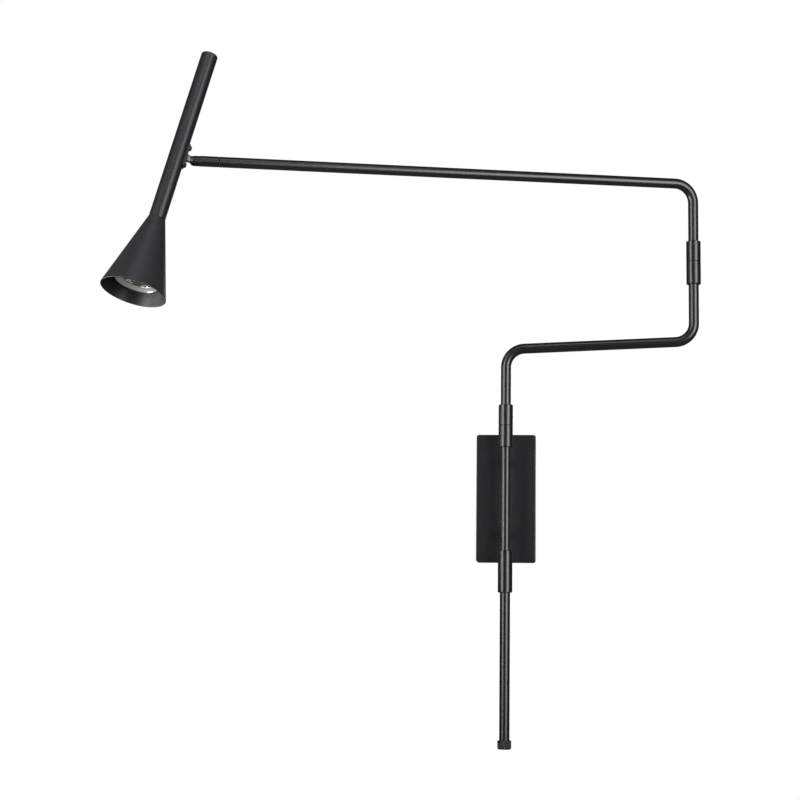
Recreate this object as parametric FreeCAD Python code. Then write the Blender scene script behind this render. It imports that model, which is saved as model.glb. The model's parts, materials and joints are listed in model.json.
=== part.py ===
"""Swing arm wall sconce: plate and stem, two bent tube arms, arm-end swivel, tilting head, switch knob.

Millimetres.  Origin: centre of the wall plate on the wall plane.
+X to the right, +Y into the wall, +Z up.
"""
import math
import os

import FreeCAD
import Part

V = FreeCAD.Vector

# ---------------------------------------------------------------- driving dimensions
# wall plate and bracket
PLATE_WIDTH = 70.5
PLATE_HEIGHT = 151.5
PLATE_DEPTH = 24.0
PLATE_WALL = 1.5
PLATE_CORNER = 3.0
PLATE_FRONT_EDGE = 1.0
SIDE_SCREW_DEPTH = 11.0
BRACKET_HALF_WIDTH = 33.4
BRACKET_HALF_HEIGHT = 65.0
BRACKET_SHEET = 2.0
WALL_SLOT_SPACING = 100.0
WALL_SLOT_LENGTH = 12.0
WALL_SLOT_RADIUS = 2.5
ENTRY_X = -18.0
ENTRY_Z = 32.0
ENTRY_RADIUS = 4.5
TERMINAL_PITCH = 8.0
TERMINAL_FACE = -15.0

# tubes and collars
TUBE_OD = 12.0
TUBE_WALL = 1.0
BEND_RADIUS = 22.5
COLLAR_OD = 17.0
COLLAR_CHAMFER = 0.6
SEAM_CHAMFER = 0.3
SEAM_GAP = 0.4
FIT = 0.03

# stem
STEM_OFFSET = 46.0
POST_HEIGHT = 42.0
POST_OD = 10.0
POST_ID = 7.0
SHOULDER_BOTTOM = 58.5
SHOULDER_SEAM = 84.2
SHOULDER_TOP = 109.0
LOWER_COLLAR_TOP = -63.2
LOWER_COLLAR_BOTTOM = -112.4
STEM_JOIN = -88.0
DROP_END = -283.0
GRUB_HEIGHT = -30.3

# switch knob
KNOB_OD = 16.2
KNOB_TOP = -283.2
KNOB_BOTTOM = -293.6
KNURL_COUNT = 40

# lower arm
ARM1_REACH = 221.5
ARM1_HEIGHT = 175.3
ARM1_RISE_DEG = 2.5
ELBOW_BOTTOM = 253.1
ELBOW_SEAM = 280.6
ELBOW_TOP = 304.9

# upper arm
ARM2_HEIGHT = 374.1
ARM2_DROP_DEG = 1.2
ARM2_HEADING_DEG = 198.0
ARM2_TUBE_END = 559.2
RING_START = 559.5
RING_END = 569.2
FERRULE_START = 569.6
FERRULE_END = 591.0
TILT_PIVOT = 596.0
FORK_RADIUS = 5.8
FORK_NOSE = 5.2
SPIGOT_RADIUS = 3.6

# head
ROLL_DEG = 9.7
TILT_DEG = 17.4
HEAD_OFFSET = 20.6
HEAD_OD = 19.0
HEAD_WALL = 1.0
HEAD_TOP = 131.3
SHADE_TOP = -81.3
SHADE_MOUTH = -172.5
SHADE_MOUTH_OD = 74.8
SHADE_WALL = 1.2
SHADE_LEDGE = 0.4
SADDLE_THICKNESS = 1.5
SADDLE_LENGTH = 30.0
SADDLE_WIDTH = 9.6
SADDLE_RISE = 1.7
SADDLE_SCREW_SPACING = 21.4
KNUCKLE_BORE = 1.7
KNUCKLE_NOSE = 3.4
KNUCKLE_HALF = 2.6
KNUCKLE_FOOT = 3.9

# lamp and its holder
LAMP_FACE = -161.0
LAMP_RADIUS = 25.0
WINDOW_RADIUS = 17.6
HOLDER_BACK = -98.0
HOLDER_FRONT = -113.8
HOLDER_SCREW_Y = 8.4
PIN_SPACING = 10.0

# joint pivots: shared by shoulder and elbow, heights above the seam
PIVOT_RADIUS = 5.0
PIVOT_BORE = 2.8
PIVOT_TOP = 15.8
BUSH_RADIUS = 6.5
BUSH_LOW = 0.7
BUSH_HIGH = 7.9
STOP_HEIGHT = 10.4
COLLAR_STEP = 12.4
RING_GROOVE = 13.4
TUBE_SEAT = 16.4
COLLAR_CLEAR = 5.3
RUNNING = 0.05
STOP_TIP = 1.0
CABLE_RADIUS = 1.9
LEAD_RADIUS = 1.5

# stop grooves, degrees from the stop screw's place at rest, and the screws' places round each axis
SHOULDER_RANGE = (-183.0, 4.0)
ELBOW_RANGE = (-8.0, 312.0)
SWIVEL_RANGE = (-160.0, 140.0)
BACK_AZIMUTH = 90.0
ELBOW_SCREW_AZIMUTH = 185.0
SWIVEL_SCREW_AZIMUTH = -90.0
SWIVEL_TIP = 0.9

# sizes that follow from the ones above
TUBE_R = TUBE_OD / 2
TUBE_BORE = TUBE_R - TUBE_WALL
COLLAR_R = COLLAR_OD / 2
COLLAR_BORE = TUBE_R + 0.02
HEAD_R = HEAD_OD / 2
HEAD_BORE = HEAD_R - HEAD_WALL
SPIGOT_END = RING_END + 14.4
SWIVEL_STOP_AT = RING_END + 4.0
FORK_END = TILT_PIVOT + FORK_NOSE
SADDLE_FACE = HEAD_OFFSET - HEAD_R - SADDLE_THICKNESS
SADDLE_SCREW_HEIGHTS = (SADDLE_RISE - SADDLE_SCREW_SPACING / 2, SADDLE_RISE + SADDLE_SCREW_SPACING / 2)
LAMP_BACK = HOLDER_FRONT - 0.2


# ---------------------------------------------------------------- shared shapes
def lengthwise_edges(shape, half_width, half_height):
    """Edges along X at the four corners of a box centred on the X axis."""
    found = []
    for edge in shape.Edges:
        centre = edge.CenterOfMass
        if abs(abs(centre.y) - half_width) < 0.01 and abs(abs(centre.z) - half_height) < 0.01:
            found.append(edge)
    return found


def turned_point(radius, degrees, height):
    """Point at a radius and an angle about Z."""
    angle = math.radians(degrees)
    return V(radius * math.cos(angle), radius * math.sin(angle), height)


def upright_edges(shape, half_width, half_height):
    """Edges along Y at the four corners of a box centred on the Y axis."""
    found = []
    for edge in shape.Edges:
        centre = edge.CenterOfMass
        if abs(abs(centre.x) - half_width) < 0.01 and abs(abs(centre.z) - half_height) < 0.01:
            found.append(edge)
    return found


def turned(outline, sweep=360.0):
    """Solid of revolution about Z from an outline of (radius, height) corners."""
    corners = [V(r, 0, z) for r, z in outline]
    corners.append(corners[0])
    face = Part.Face(Part.makePolygon(corners))
    return face.revolve(V(0, 0, 0), V(0, 0, 1), sweep)


def rod(radius, start, end):
    """Plain round bar between two points."""
    run = end - start
    return Part.makeCylinder(radius, run.Length, start, run)


def block(low, high):
    """Box between two corners."""
    size = high - low
    return Part.makeBox(size.x, size.y, size.z, low)


def pipe(outer, inner, start, end):
    """Straight round tube between two points."""
    return rod(outer, start, end).cut(rod(inner, start, end))


def hex_bar(across_flats, height):
    """Hexagonal bar standing on the XY plane."""
    radius = across_flats / math.sqrt(3)
    corners = [turned_point(radius, 60 * i, 0) for i in range(6)]
    corners.append(corners[0])
    return Part.Face(Part.makePolygon(corners)).extrude(V(0, 0, height))


def bent_path(points, radius):
    """Straight runs joined by tangent arcs of one radius."""
    edges = []
    start = points[0]
    for i in range(1, len(points) - 1):
        corner = points[i]
        heading_in = (corner - points[i - 1]).normalize()
        heading_out = (points[i + 1] - corner).normalize()
        half = heading_in.getAngle(heading_out) / 2
        trim = radius * math.tan(half)
        first = corner - heading_in * trim
        last = corner + heading_out * trim
        inward = (heading_out - heading_in).normalize()
        middle = corner + inward * (radius / math.cos(half) - radius)
        edges.append(Part.LineSegment(start, first).toShape())
        edges.append(Part.Arc(first, middle, last).toShape())
        start = last
    edges.append(Part.LineSegment(start, points[-1]).toShape())
    return Part.Wire(edges)


def bent_rod(points, bend, radius):
    """Round bar along a bent path."""
    path = bent_path(points, bend)
    ring = Part.Wire([Part.makeCircle(radius, points[0], points[1] - points[0])])
    return path.makePipeShell([ring], True, False)


def bent_tube(points, bend):
    """Arm tube along a bent path."""
    return bent_rod(points, bend, TUBE_R).cut(bent_rod(points, bend, TUBE_BORE))


def turn(shape, axis, degrees, centre=V(0, 0, 0)):
    """Copy of a shape turned about an axis."""
    copy = shape.copy()
    copy.rotate(centre, axis, degrees)
    return copy


def shift(shape, offset):
    """Copy of a shape moved by an offset."""
    copy = shape.copy()
    copy.translate(offset)
    return copy


def lying(shape):
    """Turn a shape made along +Z so that it lies along +X."""
    return turn(shape, V(0, 1, 0), 90)


def group(shapes):
    """Separate identical solids kept as one node."""
    return Part.makeCompound(shapes)


def grub_screw(radius, inner, outer, tip_radius, tip_inner):
    """Dog point grub screw pointing along +X, with a hexagon socket in its outer end."""
    outline = [(0, tip_inner), (tip_radius, tip_inner), (tip_radius, inner), (radius, inner)]
    outline += [(radius, outer - 0.2), (radius - 0.2, outer), (0, outer)]
    screw = turned(outline)
    socket = shift(hex_bar(radius * 1.0, 1.2), V(0, 0, outer - 1.1))
    return lying(screw.cut(socket))


def domed_screw(head_radius, head_height, shank_radius, shank_length, socket):
    """Domed socket screw along +Z: head above z = 0, shank below."""
    sphere_radius = (head_radius ** 2 + head_height ** 2) / (2 * head_height)
    ball = Part.makeSphere(sphere_radius, V(0, 0, head_height - sphere_radius))
    cap = ball.common(Part.makeCylinder(head_radius, head_height + 1, V(0, 0, 0)))
    shank = Part.makeCylinder(shank_radius, shank_length, V(0, 0, -shank_length))
    hole = shift(hex_bar(socket, head_height), V(0, 0, head_height * 0.45))
    return cap.fuse(shank).cut(hole).removeSplitter()


# ---------------------------------------------------------------- collar joint, axis on Z through the origin
def joint_pivot(seam, stop_range, stop_azimuth):
    """Hollow pivot: base held in the lower collar, spigot with a stop groove and a ring groove."""
    low = seam - SEAM_GAP / 2
    base = low - 12
    top = seam + PIVOT_TOP
    ring_low = seam + RING_GROOVE
    ring_high = ring_low + 1.2
    outline = [(PIVOT_BORE, base), (TUBE_R - FIT, base), (TUBE_R - FIT, low), (PIVOT_RADIUS, low)]
    outline += [(PIVOT_RADIUS, ring_low), (PIVOT_RADIUS - 0.7, ring_low), (PIVOT_RADIUS - 0.7, ring_high)]
    outline += [(PIVOT_RADIUS, ring_high), (PIVOT_RADIUS, top - 0.4), (PIVOT_RADIUS - 0.4, top)]
    outline += [(PIVOT_BORE, top)]
    half_tip = math.degrees(math.asin(STOP_TIP / (PIVOT_RADIUS - 0.75))) + 1.0
    start = stop_azimuth + stop_range[0] - half_tip
    sweep = stop_range[1] - stop_range[0] + 2 * half_tip
    floor = PIVOT_RADIUS - 1.0
    middle = seam + STOP_HEIGHT
    low_side = middle - 1.3
    high_side = middle + 1.3
    section = [(floor, low_side), (floor + 2, low_side), (floor + 2, high_side), (floor, high_side)]
    groove = turned(section, sweep)
    return turned(outline).cut(turn(groove, V(0, 0, 1), start))


def joint_collar_lower(bottom, seam):
    """Fixed half of the sleeve, with one bore for the tube and the pivot."""
    top = seam - SEAM_GAP / 2
    outline = [(COLLAR_BORE, bottom), (COLLAR_R - COLLAR_CHAMFER, bottom)]
    outline += [(COLLAR_R, bottom + COLLAR_CHAMFER)]
    outline += [(COLLAR_R, top - SEAM_CHAMFER), (COLLAR_R - SEAM_CHAMFER, top), (COLLAR_BORE, top)]
    return turned(outline)


def joint_collar_upper(seam, top, stop_azimuth):
    """Turning half of the sleeve: bush bore below, a narrow web for the stop screw, tube bore above."""
    low = seam + SEAM_GAP / 2
    web_low = seam + BUSH_HIGH + 0.1
    web_high = seam + COLLAR_STEP
    wide = BUSH_RADIUS + 0.02
    outline = [(wide, low), (COLLAR_R - SEAM_CHAMFER, low), (COLLAR_R, low + SEAM_CHAMFER)]
    outline += [(COLLAR_R, top - COLLAR_CHAMFER), (COLLAR_R - COLLAR_CHAMFER, top)]
    outline += [(COLLAR_BORE, top), (COLLAR_BORE, web_high), (COLLAR_CLEAR, web_high)]
    outline += [(COLLAR_CLEAR, web_low), (wide, web_low)]
    stop = seam + STOP_HEIGHT
    hole = rod(1.5 + FIT, V(4, 0, stop), V(COLLAR_R + 1, 0, stop))
    return turned(outline).cut(turn(hole, V(0, 0, 1), stop_azimuth))


def joint_bush(seam):
    """Bronze bearing bush pressed into the upper collar."""
    inner = PIVOT_RADIUS + RUNNING
    low = seam + BUSH_LOW
    high = seam + BUSH_HIGH
    return turned([(inner, low), (BUSH_RADIUS, low), (BUSH_RADIUS, high), (inner, high)])


def joint_thrust_washer(seam):
    """Thin nylon washer in the seam between the two collars."""
    low = seam - SEAM_GAP / 2
    return turned([(5.3, low), (7.9, low), (7.9, low + 0.3), (5.3, low + 0.3)])


def joint_friction_washer(seam):
    """Friction washer between the collar's web and the retaining ring."""
    low = seam + COLLAR_STEP + 0.02
    outer = TUBE_R - 0.1
    return turned([(COLLAR_CLEAR, low), (outer, low), (outer, low + 0.8), (COLLAR_CLEAR, low + 0.8)])


def joint_retaining_ring(seam):
    """Open spring ring in the pivot's groove."""
    low = seam + RING_GROOVE + 0.05
    inner = PIVOT_RADIUS - 0.68
    outer = TUBE_R - 0.3
    ring = turned([(inner, low), (outer, low), (outer, low + 1.1), (inner, low + 1.1)])
    return ring.cut(block(V(0, -1.6, low - 1), V(8, 1.6, low + 2)))


def joint_stop_screw(seam, azimuth):
    """Grub screw in the upper collar whose tip runs in the pivot's groove."""
    screw = grub_screw(1.5, COLLAR_CLEAR + 0.05, 7.7, STOP_TIP, 4.25)
    return turn(shift(screw, V(0, 0, seam + STOP_HEIGHT)), V(0, 0, 1), azimuth)


# ---------------------------------------------------------------- wall unit
def at_stem(shape):
    """Move a shape from the Z axis to the stem axis."""
    return shift(shape, V(0, -STEM_OFFSET, 0))


def make_wall_canopy():
    """Open-backed rectangular cover with softened edges."""
    half_w = PLATE_WIDTH / 2
    half_h = PLATE_HEIGHT / 2
    body = block(V(-half_w, -PLATE_DEPTH, -half_h), V(half_w, 0, half_h))
    body = body.makeFillet(PLATE_CORNER, upright_edges(body, half_w, half_h))
    front = [e for e in body.Edges if abs(e.CenterOfMass.y + PLATE_DEPTH) < 0.01]
    body = body.makeFillet(PLATE_FRONT_EDGE, front)
    t = PLATE_WALL
    hollow = block(V(-half_w + t, -PLATE_DEPTH + t, -half_h + t), V(half_w - t, 1, half_h - t))
    body = body.cut(hollow.makeFillet(PLATE_CORNER - t, upright_edges(hollow, half_w - t, half_h - t)))
    for z in (POST_HEIGHT, -POST_HEIGHT):
        body = body.cut(rod(POST_OD / 2 + FIT, V(0, -PLATE_DEPTH - 1, z), V(0, -PLATE_DEPTH + 3, z)))
    return body.cut(rod(2.05, V(-half_w - 1, -SIDE_SCREW_DEPTH, 0), V(half_w + 1, -SIDE_SCREW_DEPTH, 0)))


def wall_slot(z):
    """Cutter for one upright slot for a wall screw."""
    reach = WALL_SLOT_LENGTH / 2 - WALL_SLOT_RADIUS
    r = WALL_SLOT_RADIUS
    low_end = rod(r, V(0, -3, z - reach), V(0, 1, z - reach))
    ends = low_end.fuse(rod(r, V(0, -3, z + reach), V(0, 1, z + reach)))
    return ends.fuse(block(V(-r, -3, z - reach), V(r, 1, z + reach)))


def make_wall_bracket():
    """Folded steel strap with two wall slots, a cable entry and side tabs for the cover's screws."""
    w = BRACKET_HALF_WIDTH
    h = BRACKET_HALF_HEIGHT
    t = BRACKET_SHEET
    strap = block(V(-w, -t, -h), V(w, 0, h))
    strap = strap.makeFillet(4.0, upright_edges(strap, w, h))
    for side in (-1, 1):
        low_x = min(side * w, side * (w - t))
        tab = block(V(low_x, -17, -14), V(low_x + t, -t / 2, 14))
        strap = strap.fuse(tab)
    strap = strap.removeSplitter()
    strap = strap.cut(rod(2.05, V(-w - 1, -SIDE_SCREW_DEPTH, 0), V(w + 1, -SIDE_SCREW_DEPTH, 0)))
    strap = strap.cut(wall_slot(WALL_SLOT_SPACING / 2)).cut(wall_slot(-WALL_SLOT_SPACING / 2))
    strap = strap.cut(rod(ENTRY_RADIUS + 1.8, V(ENTRY_X, -3, ENTRY_Z), V(ENTRY_X, 1, ENTRY_Z)))
    return strap.cut(rod(2.05, V(-ENTRY_X, -3, -ENTRY_Z), V(-ENTRY_X, 1, -ENTRY_Z)))


def make_cable_grommet():
    """Rubber grommet in the bracket's cable entry."""
    r = ENTRY_RADIUS
    outline = [(r, 0), (r + 1.75, 0), (r + 1.75, 2.05), (r + 3.2, 2.05), (r + 3.2, 3.2)]
    outline += [(r + 2.6, 3.8), (r, 3.8)]
    ring = turn(turned(outline), V(1, 0, 0), 90)
    return shift(ring, V(ENTRY_X, 0, ENTRY_Z))


def make_earth_screw():
    """Pan head earth screw with its cup washer as one turned piece."""
    outline = [(0, 0.1), (2.0, 0.1), (2.0, 2.05), (4.6, 2.05), (4.6, 2.9)]
    outline += [(3.8, 2.9), (3.8, 4.6), (3.2, 5.3), (0, 5.3)]
    screw = turned(outline)
    screw = screw.cut(block(V(-4, -0.5, 4.3), V(4, 0.5, 6))).cut(block(V(-0.5, -4, 4.3), V(0.5, 4, 6)))
    return shift(turn(screw, V(1, 0, 0), 90), V(-ENTRY_X, 0, -ENTRY_Z))


def make_terminal_block():
    """Three-way terminal block with wire ways and screw wells."""
    body = block(V(-12.5, TERMINAL_FACE, -9), V(12.5, -BRACKET_SHEET - 0.05, 9))
    for i in (-1, 0, 1):
        x = i * TERMINAL_PITCH
        body = body.cut(rod(2.2, V(x, -10, -10), V(x, -10, 10)))
        for z in (-4.5, 4.5):
            body = body.cut(rod(1.9, V(x, TERMINAL_FACE - 1, z), V(x, -10, z)))
    for i in (-0.5, 0.5):
        x = i * TERMINAL_PITCH
        body = body.cut(block(V(x - 0.6, TERMINAL_FACE - 1, -10), V(x + 0.6, -12, 10)))
    return body


def make_terminal_screws():
    """Six brass clamping screws."""
    screws = []
    for i in (-1, 0, 1):
        for z in (-4.5, 4.5):
            x = i * TERMINAL_PITCH
            screw = rod(1.8, V(x, -14.2, z), V(x, -10.2, z))
            screws.append(screw.cut(block(V(x - 2, -15, z - 0.3), V(x + 2, -13.6, z + 0.3))))
    return group(screws)


def make_canopy_screws():
    """Grub screw on each side of the cover, flush with its surface and threaded into the bracket's tab."""
    half = PLATE_WIDTH / 2
    screw = grub_screw(2.0, half - 6.0, half - 0.15, 1.4, half - 6.8)
    right = shift(screw, V(0, -SIDE_SCREW_DEPTH, 0))
    left = shift(turn(screw, V(0, 0, 1), 180), V(0, -SIDE_SCREW_DEPTH, 0))
    return group([left, right])


def stem_post(z):
    """Hollow post from inside the cover to the stem tube, with a seat on the cover's face."""
    inner = -PLATE_DEPTH + PLATE_WALL + 6.0
    body = rod(POST_OD / 2, V(0, inner, z), V(0, -STEM_OFFSET, z))
    seat = rod(POST_OD / 2 + 0.8, V(0, -PLATE_DEPTH, z), V(0, -PLATE_DEPTH - 2.5, z))
    body = body.fuse(seat)
    body = body.cut(rod(POST_ID / 2, V(0, inner + 1, z), V(0, -STEM_OFFSET - 1, z)))
    return body.cut(rod(TUBE_R + 0.02, V(0, -STEM_OFFSET, z - 10), V(0, -STEM_OFFSET, z + 10)))


def make_stem_posts():
    """The two posts that carry the stem."""
    return group([stem_post(POST_HEIGHT), stem_post(-POST_HEIGHT)])


def make_post_nuts():
    """Thin hexagon nut on each post inside the cover."""
    nuts = []
    for z in (POST_HEIGHT, -POST_HEIGHT):
        nut = hex_bar(14.0, 3.5).cut(Part.makeCylinder(POST_OD / 2 + FIT, 4))
        nuts.append(shift(turn(nut, V(1, 0, 0), 90), V(0, -PLATE_DEPTH + PLATE_WALL + 3.55, z)))
    return group(nuts)


def make_stem_tube():
    """Short upright tube that the posts carry."""
    top = SHOULDER_SEAM - SEAM_GAP / 2 - 12.2
    tube = at_stem(pipe(TUBE_R - FIT / 2, TUBE_BORE, V(0, 0, STEM_JOIN + 0.2), V(0, 0, top)))
    for z in (POST_HEIGHT, -POST_HEIGHT):
        tube = tube.cut(rod(POST_ID / 2, V(0, -STEM_OFFSET, z), V(0, -STEM_OFFSET + 10, z)))
    hole = turn(rod(1.5 + FIT, V(3, 0, GRUB_HEIGHT), V(8, 0, GRUB_HEIGHT)), V(0, 0, 1), 197)
    return tube.cut(at_stem(hole))


def make_stem_grub_screw():
    """Small grub screw low on the left of the stem tube."""
    screw = grub_screw(1.5, 3.6, TUBE_R + 0.45, 1.1, 3.0)
    return at_stem(turn(shift(screw, V(0, 0, GRUB_HEIGHT)), V(0, 0, 1), 197))


def make_lower_collar():
    """One-piece sleeve that joins the stem tube to the drop tube."""
    c = COLLAR_CHAMFER
    low = LOWER_COLLAR_BOTTOM
    high = LOWER_COLLAR_TOP
    outline = [(COLLAR_BORE, low), (COLLAR_R - c, low), (COLLAR_R, low + c)]
    outline += [(COLLAR_R, high - c), (COLLAR_R - c, high), (COLLAR_BORE, high)]
    return at_stem(turned(outline))


def make_drop_tube():
    """Long tube that hangs below the wall plate and ends at the switch knob."""
    return at_stem(pipe(TUBE_R, TUBE_BORE, V(0, 0, DROP_END), V(0, 0, STEM_JOIN - 0.2)))


def make_switch_body():
    """Small rotary dimmer in the foot of the drop tube."""
    low = DROP_END + 0.4
    outline = [(2.05, low), (4.95, low), (4.95, low + 18), (4.0, low + 20), (0, low + 20)]
    outline += [(0, low + 11), (2.05, low + 11)]
    return at_stem(turned(outline))


def make_feed_cable():
    """Cable from the terminal block through the upper post and up through the shoulder pivot."""
    top = SHOULDER_SEAM + PIVOT_TOP - 0.3
    points = [V(0, -10, 9.3), V(0, -10, POST_HEIGHT),
              V(0, -STEM_OFFSET, POST_HEIGHT), V(0, -STEM_OFFSET, top)]
    return bent_rod(points, 7.0, CABLE_RADIUS)


def make_switch_cable():
    """Cable from the terminal block through the lower post and down to the dimmer."""
    low = DROP_END + 20.6
    points = [V(0, -10, -9.3), V(0, -10, -POST_HEIGHT),
              V(0, -STEM_OFFSET, -POST_HEIGHT), V(0, -STEM_OFFSET, low)]
    return bent_rod(points, 7.0, CABLE_RADIUS)


# ---------------------------------------------------------------- switch knob
def make_switch_knob():
    """Knurled knob with a rounded lower edge."""
    outer = KNOB_OD / 2
    crest = []
    for i in range(2 * KNURL_COUNT):
        r = outer if i % 2 == 0 else outer - 0.3
        a = math.pi * i / KNURL_COUNT
        crest.append(V(r * math.cos(a), r * math.sin(a), KNOB_BOTTOM))
    crest.append(crest[0])
    body = Part.Face(Part.makePolygon(crest)).extrude(V(0, 0, KNOB_TOP - KNOB_BOTTOM))
    edge = [(0, KNOB_BOTTOM), (outer - 1.6, KNOB_BOTTOM), (outer - 0.7, KNOB_BOTTOM + 0.4)]
    edge += [(outer - 0.15, KNOB_BOTTOM + 1.2)]
    edge += [(outer, KNOB_BOTTOM + 2.0), (outer, KNOB_TOP - 0.6), (outer - 0.6, KNOB_TOP), (0, KNOB_TOP)]
    body = body.common(turned(edge))
    bore = Part.makeCylinder(2.0 + FIT, 7.0, V(0, 0, KNOB_TOP - 6.5))
    return at_stem(body.cut(bore))


def make_switch_spindle():
    """Dimmer spindle that the knob is pressed on."""
    return at_stem(rod(2.0, V(0, 0, KNOB_TOP - 6.0), V(0, 0, DROP_END + 11.0)))


# ---------------------------------------------------------------- lower arm
def at_elbow(shape):
    """Move a shape from the Z axis to the elbow axis."""
    return shift(shape, V(ARM1_REACH, -STEM_OFFSET, 0))


def arm1_points(start, end):
    """Corners of the lower arm's centre line."""
    rise = ARM1_REACH * math.tan(math.radians(ARM1_RISE_DEG))
    points = [V(0, 0, start), V(0, 0, ARM1_HEIGHT),
              V(ARM1_REACH, 0, ARM1_HEIGHT + rise), V(ARM1_REACH, 0, end)]
    return [p + V(0, -STEM_OFFSET, 0) for p in points]


def make_lower_arm_tube():
    """Tube that rises from the shoulder, runs out sideways and rises again to the elbow."""
    top = ELBOW_SEAM - SEAM_GAP / 2 - 12.2
    return bent_tube(arm1_points(SHOULDER_SEAM + TUBE_SEAT, top), BEND_RADIUS)


def make_lower_arm_cable():
    """Cable inside the lower arm."""
    points = arm1_points(SHOULDER_SEAM + TUBE_SEAT + 0.2, ELBOW_SEAM + PIVOT_TOP - 0.3)
    return bent_rod(points, BEND_RADIUS, CABLE_RADIUS)


# ---------------------------------------------------------------- upper arm
def at_arm2(shape):
    """Place a shape made with the elbow axis on Z and the arm heading along +X."""
    return at_elbow(turn(shape, V(0, 0, 1), ARM2_HEADING_DEG))


def on_arm2_run(shape):
    """Place a shape made along +X from the elbow axis, on the sloping run's centre line."""
    sloped = turn(shape, V(0, 1, 0), ARM2_DROP_DEG)
    return at_arm2(shift(sloped, V(0, 0, ARM2_HEIGHT)))


def arm2_points(start, end):
    """Corners of the upper arm's centre line, elbow axis on Z."""
    slope = math.radians(ARM2_DROP_DEG)
    return [V(0, 0, start),
            V(0, 0, ARM2_HEIGHT), V(end * math.cos(slope), 0, ARM2_HEIGHT - end * math.sin(slope))]


def make_upper_arm_tube():
    """Tube that rises from the elbow and runs out to the head."""
    return at_arm2(bent_tube(arm2_points(ELBOW_SEAM + TUBE_SEAT, ARM2_TUBE_END), BEND_RADIUS))


def make_upper_arm_cable():
    """Cable inside the upper arm."""
    points = arm2_points(ELBOW_SEAM + TUBE_SEAT + 0.2, RING_END + 14.0)
    return at_arm2(bent_rod(points, BEND_RADIUS, CABLE_RADIUS))


def make_arm_end_bush():
    """Insert in the end of the upper arm: plug, shoulder ring and hollow spigot for the swivel."""
    c = 0.35
    ring_groove = RING_END + 12.0
    outline = [(2.2, RING_START - 13), (TUBE_BORE - 0.02, RING_START - 13)]
    outline += [(TUBE_BORE - 0.02, RING_START), (TUBE_R - c, RING_START)]
    outline += [(TUBE_R, RING_START + c), (TUBE_R, RING_END - c), (TUBE_R - c, RING_END)]
    outline += [(SPIGOT_RADIUS, RING_END)]
    outline += [(SPIGOT_RADIUS, ring_groove), (SPIGOT_RADIUS - 0.5, ring_groove)]
    outline += [(SPIGOT_RADIUS - 0.5, ring_groove + 1.0)]
    outline += [(SPIGOT_RADIUS, ring_groove + 1.0), (SPIGOT_RADIUS, SPIGOT_END), (2.2, SPIGOT_END)]
    floor = SPIGOT_RADIUS - 0.7
    half_tip = math.degrees(math.asin(SWIVEL_TIP / (floor + 0.2))) + 1.0
    sweep = SWIVEL_RANGE[1] - SWIVEL_RANGE[0] + 2 * half_tip
    low = SWIVEL_STOP_AT - 1.1
    high = SWIVEL_STOP_AT + 1.1
    groove = turned([(floor, low), (floor + 1.5, low), (floor + 1.5, high), (floor, high)], sweep)
    start = SWIVEL_SCREW_AZIMUTH + SWIVEL_RANGE[0] - half_tip
    body = lying(turned(outline).cut(turn(groove, V(0, 0, 1), start)))
    return on_arm2_run(turn(body, V(1, 0, 0), ROLL_DEG))


def make_swivel_retaining_ring():
    """Open spring ring on the spigot, behind the ferrule's step."""
    low = RING_END + 12.05
    inner = SPIGOT_RADIUS - 0.48
    ring = turned([(inner, low), (4.6, low), (4.6, low + 0.9), (inner, low + 0.9)])
    ring = ring.cut(block(V(0, -1.2, low - 1), V(6, 1.2, low + 2)))
    return on_arm2_run(lying(ring))


# ---------------------------------------------------------------- swivel
def on_swivel(shape):
    """Place a shape made along +X, rolled about the run's centre line with the head."""
    return on_arm2_run(turn(shape, V(1, 0, 0), ROLL_DEG))


def make_swivel_ferrule():
    """Turning ferrule with a running bore and a wide counterbore."""
    c = 0.35
    step = RING_END + 11.2
    running = SPIGOT_RADIUS + RUNNING
    outline = [(running, FERRULE_START), (TUBE_R - c, FERRULE_START), (TUBE_R, FERRULE_START + c)]
    outline += [(TUBE_R, FERRULE_END - c)]
    outline += [(TUBE_R - c, FERRULE_END), (5.0, FERRULE_END), (5.0, step), (running, step)]
    hole = rod(1.25 + FIT, V(3, 0, SWIVEL_STOP_AT), V(7, 0, SWIVEL_STOP_AT))
    body = turned(outline).cut(turn(hole, V(0, 0, 1), SWIVEL_SCREW_AZIMUTH))
    return on_swivel(lying(body))


def make_swivel_friction_washer():
    """Friction washer between the ferrule's step and the spring ring."""
    low = RING_END + 11.22
    washer = turned([(3.95, low), (4.8, low), (4.8, low + 0.7), (3.95, low + 0.7)])
    return on_swivel(lying(washer))


def make_swivel_stop_screw():
    """Small grub screw whose tip runs in the spigot's groove."""
    screw = grub_screw(1.25, 4.0, 5.85, SWIVEL_TIP, 3.1)
    screw = turn(shift(screw, V(0, 0, SWIVEL_STOP_AT)), V(0, 0, 1), SWIVEL_SCREW_AZIMUTH)
    return on_swivel(lying(screw))


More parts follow.
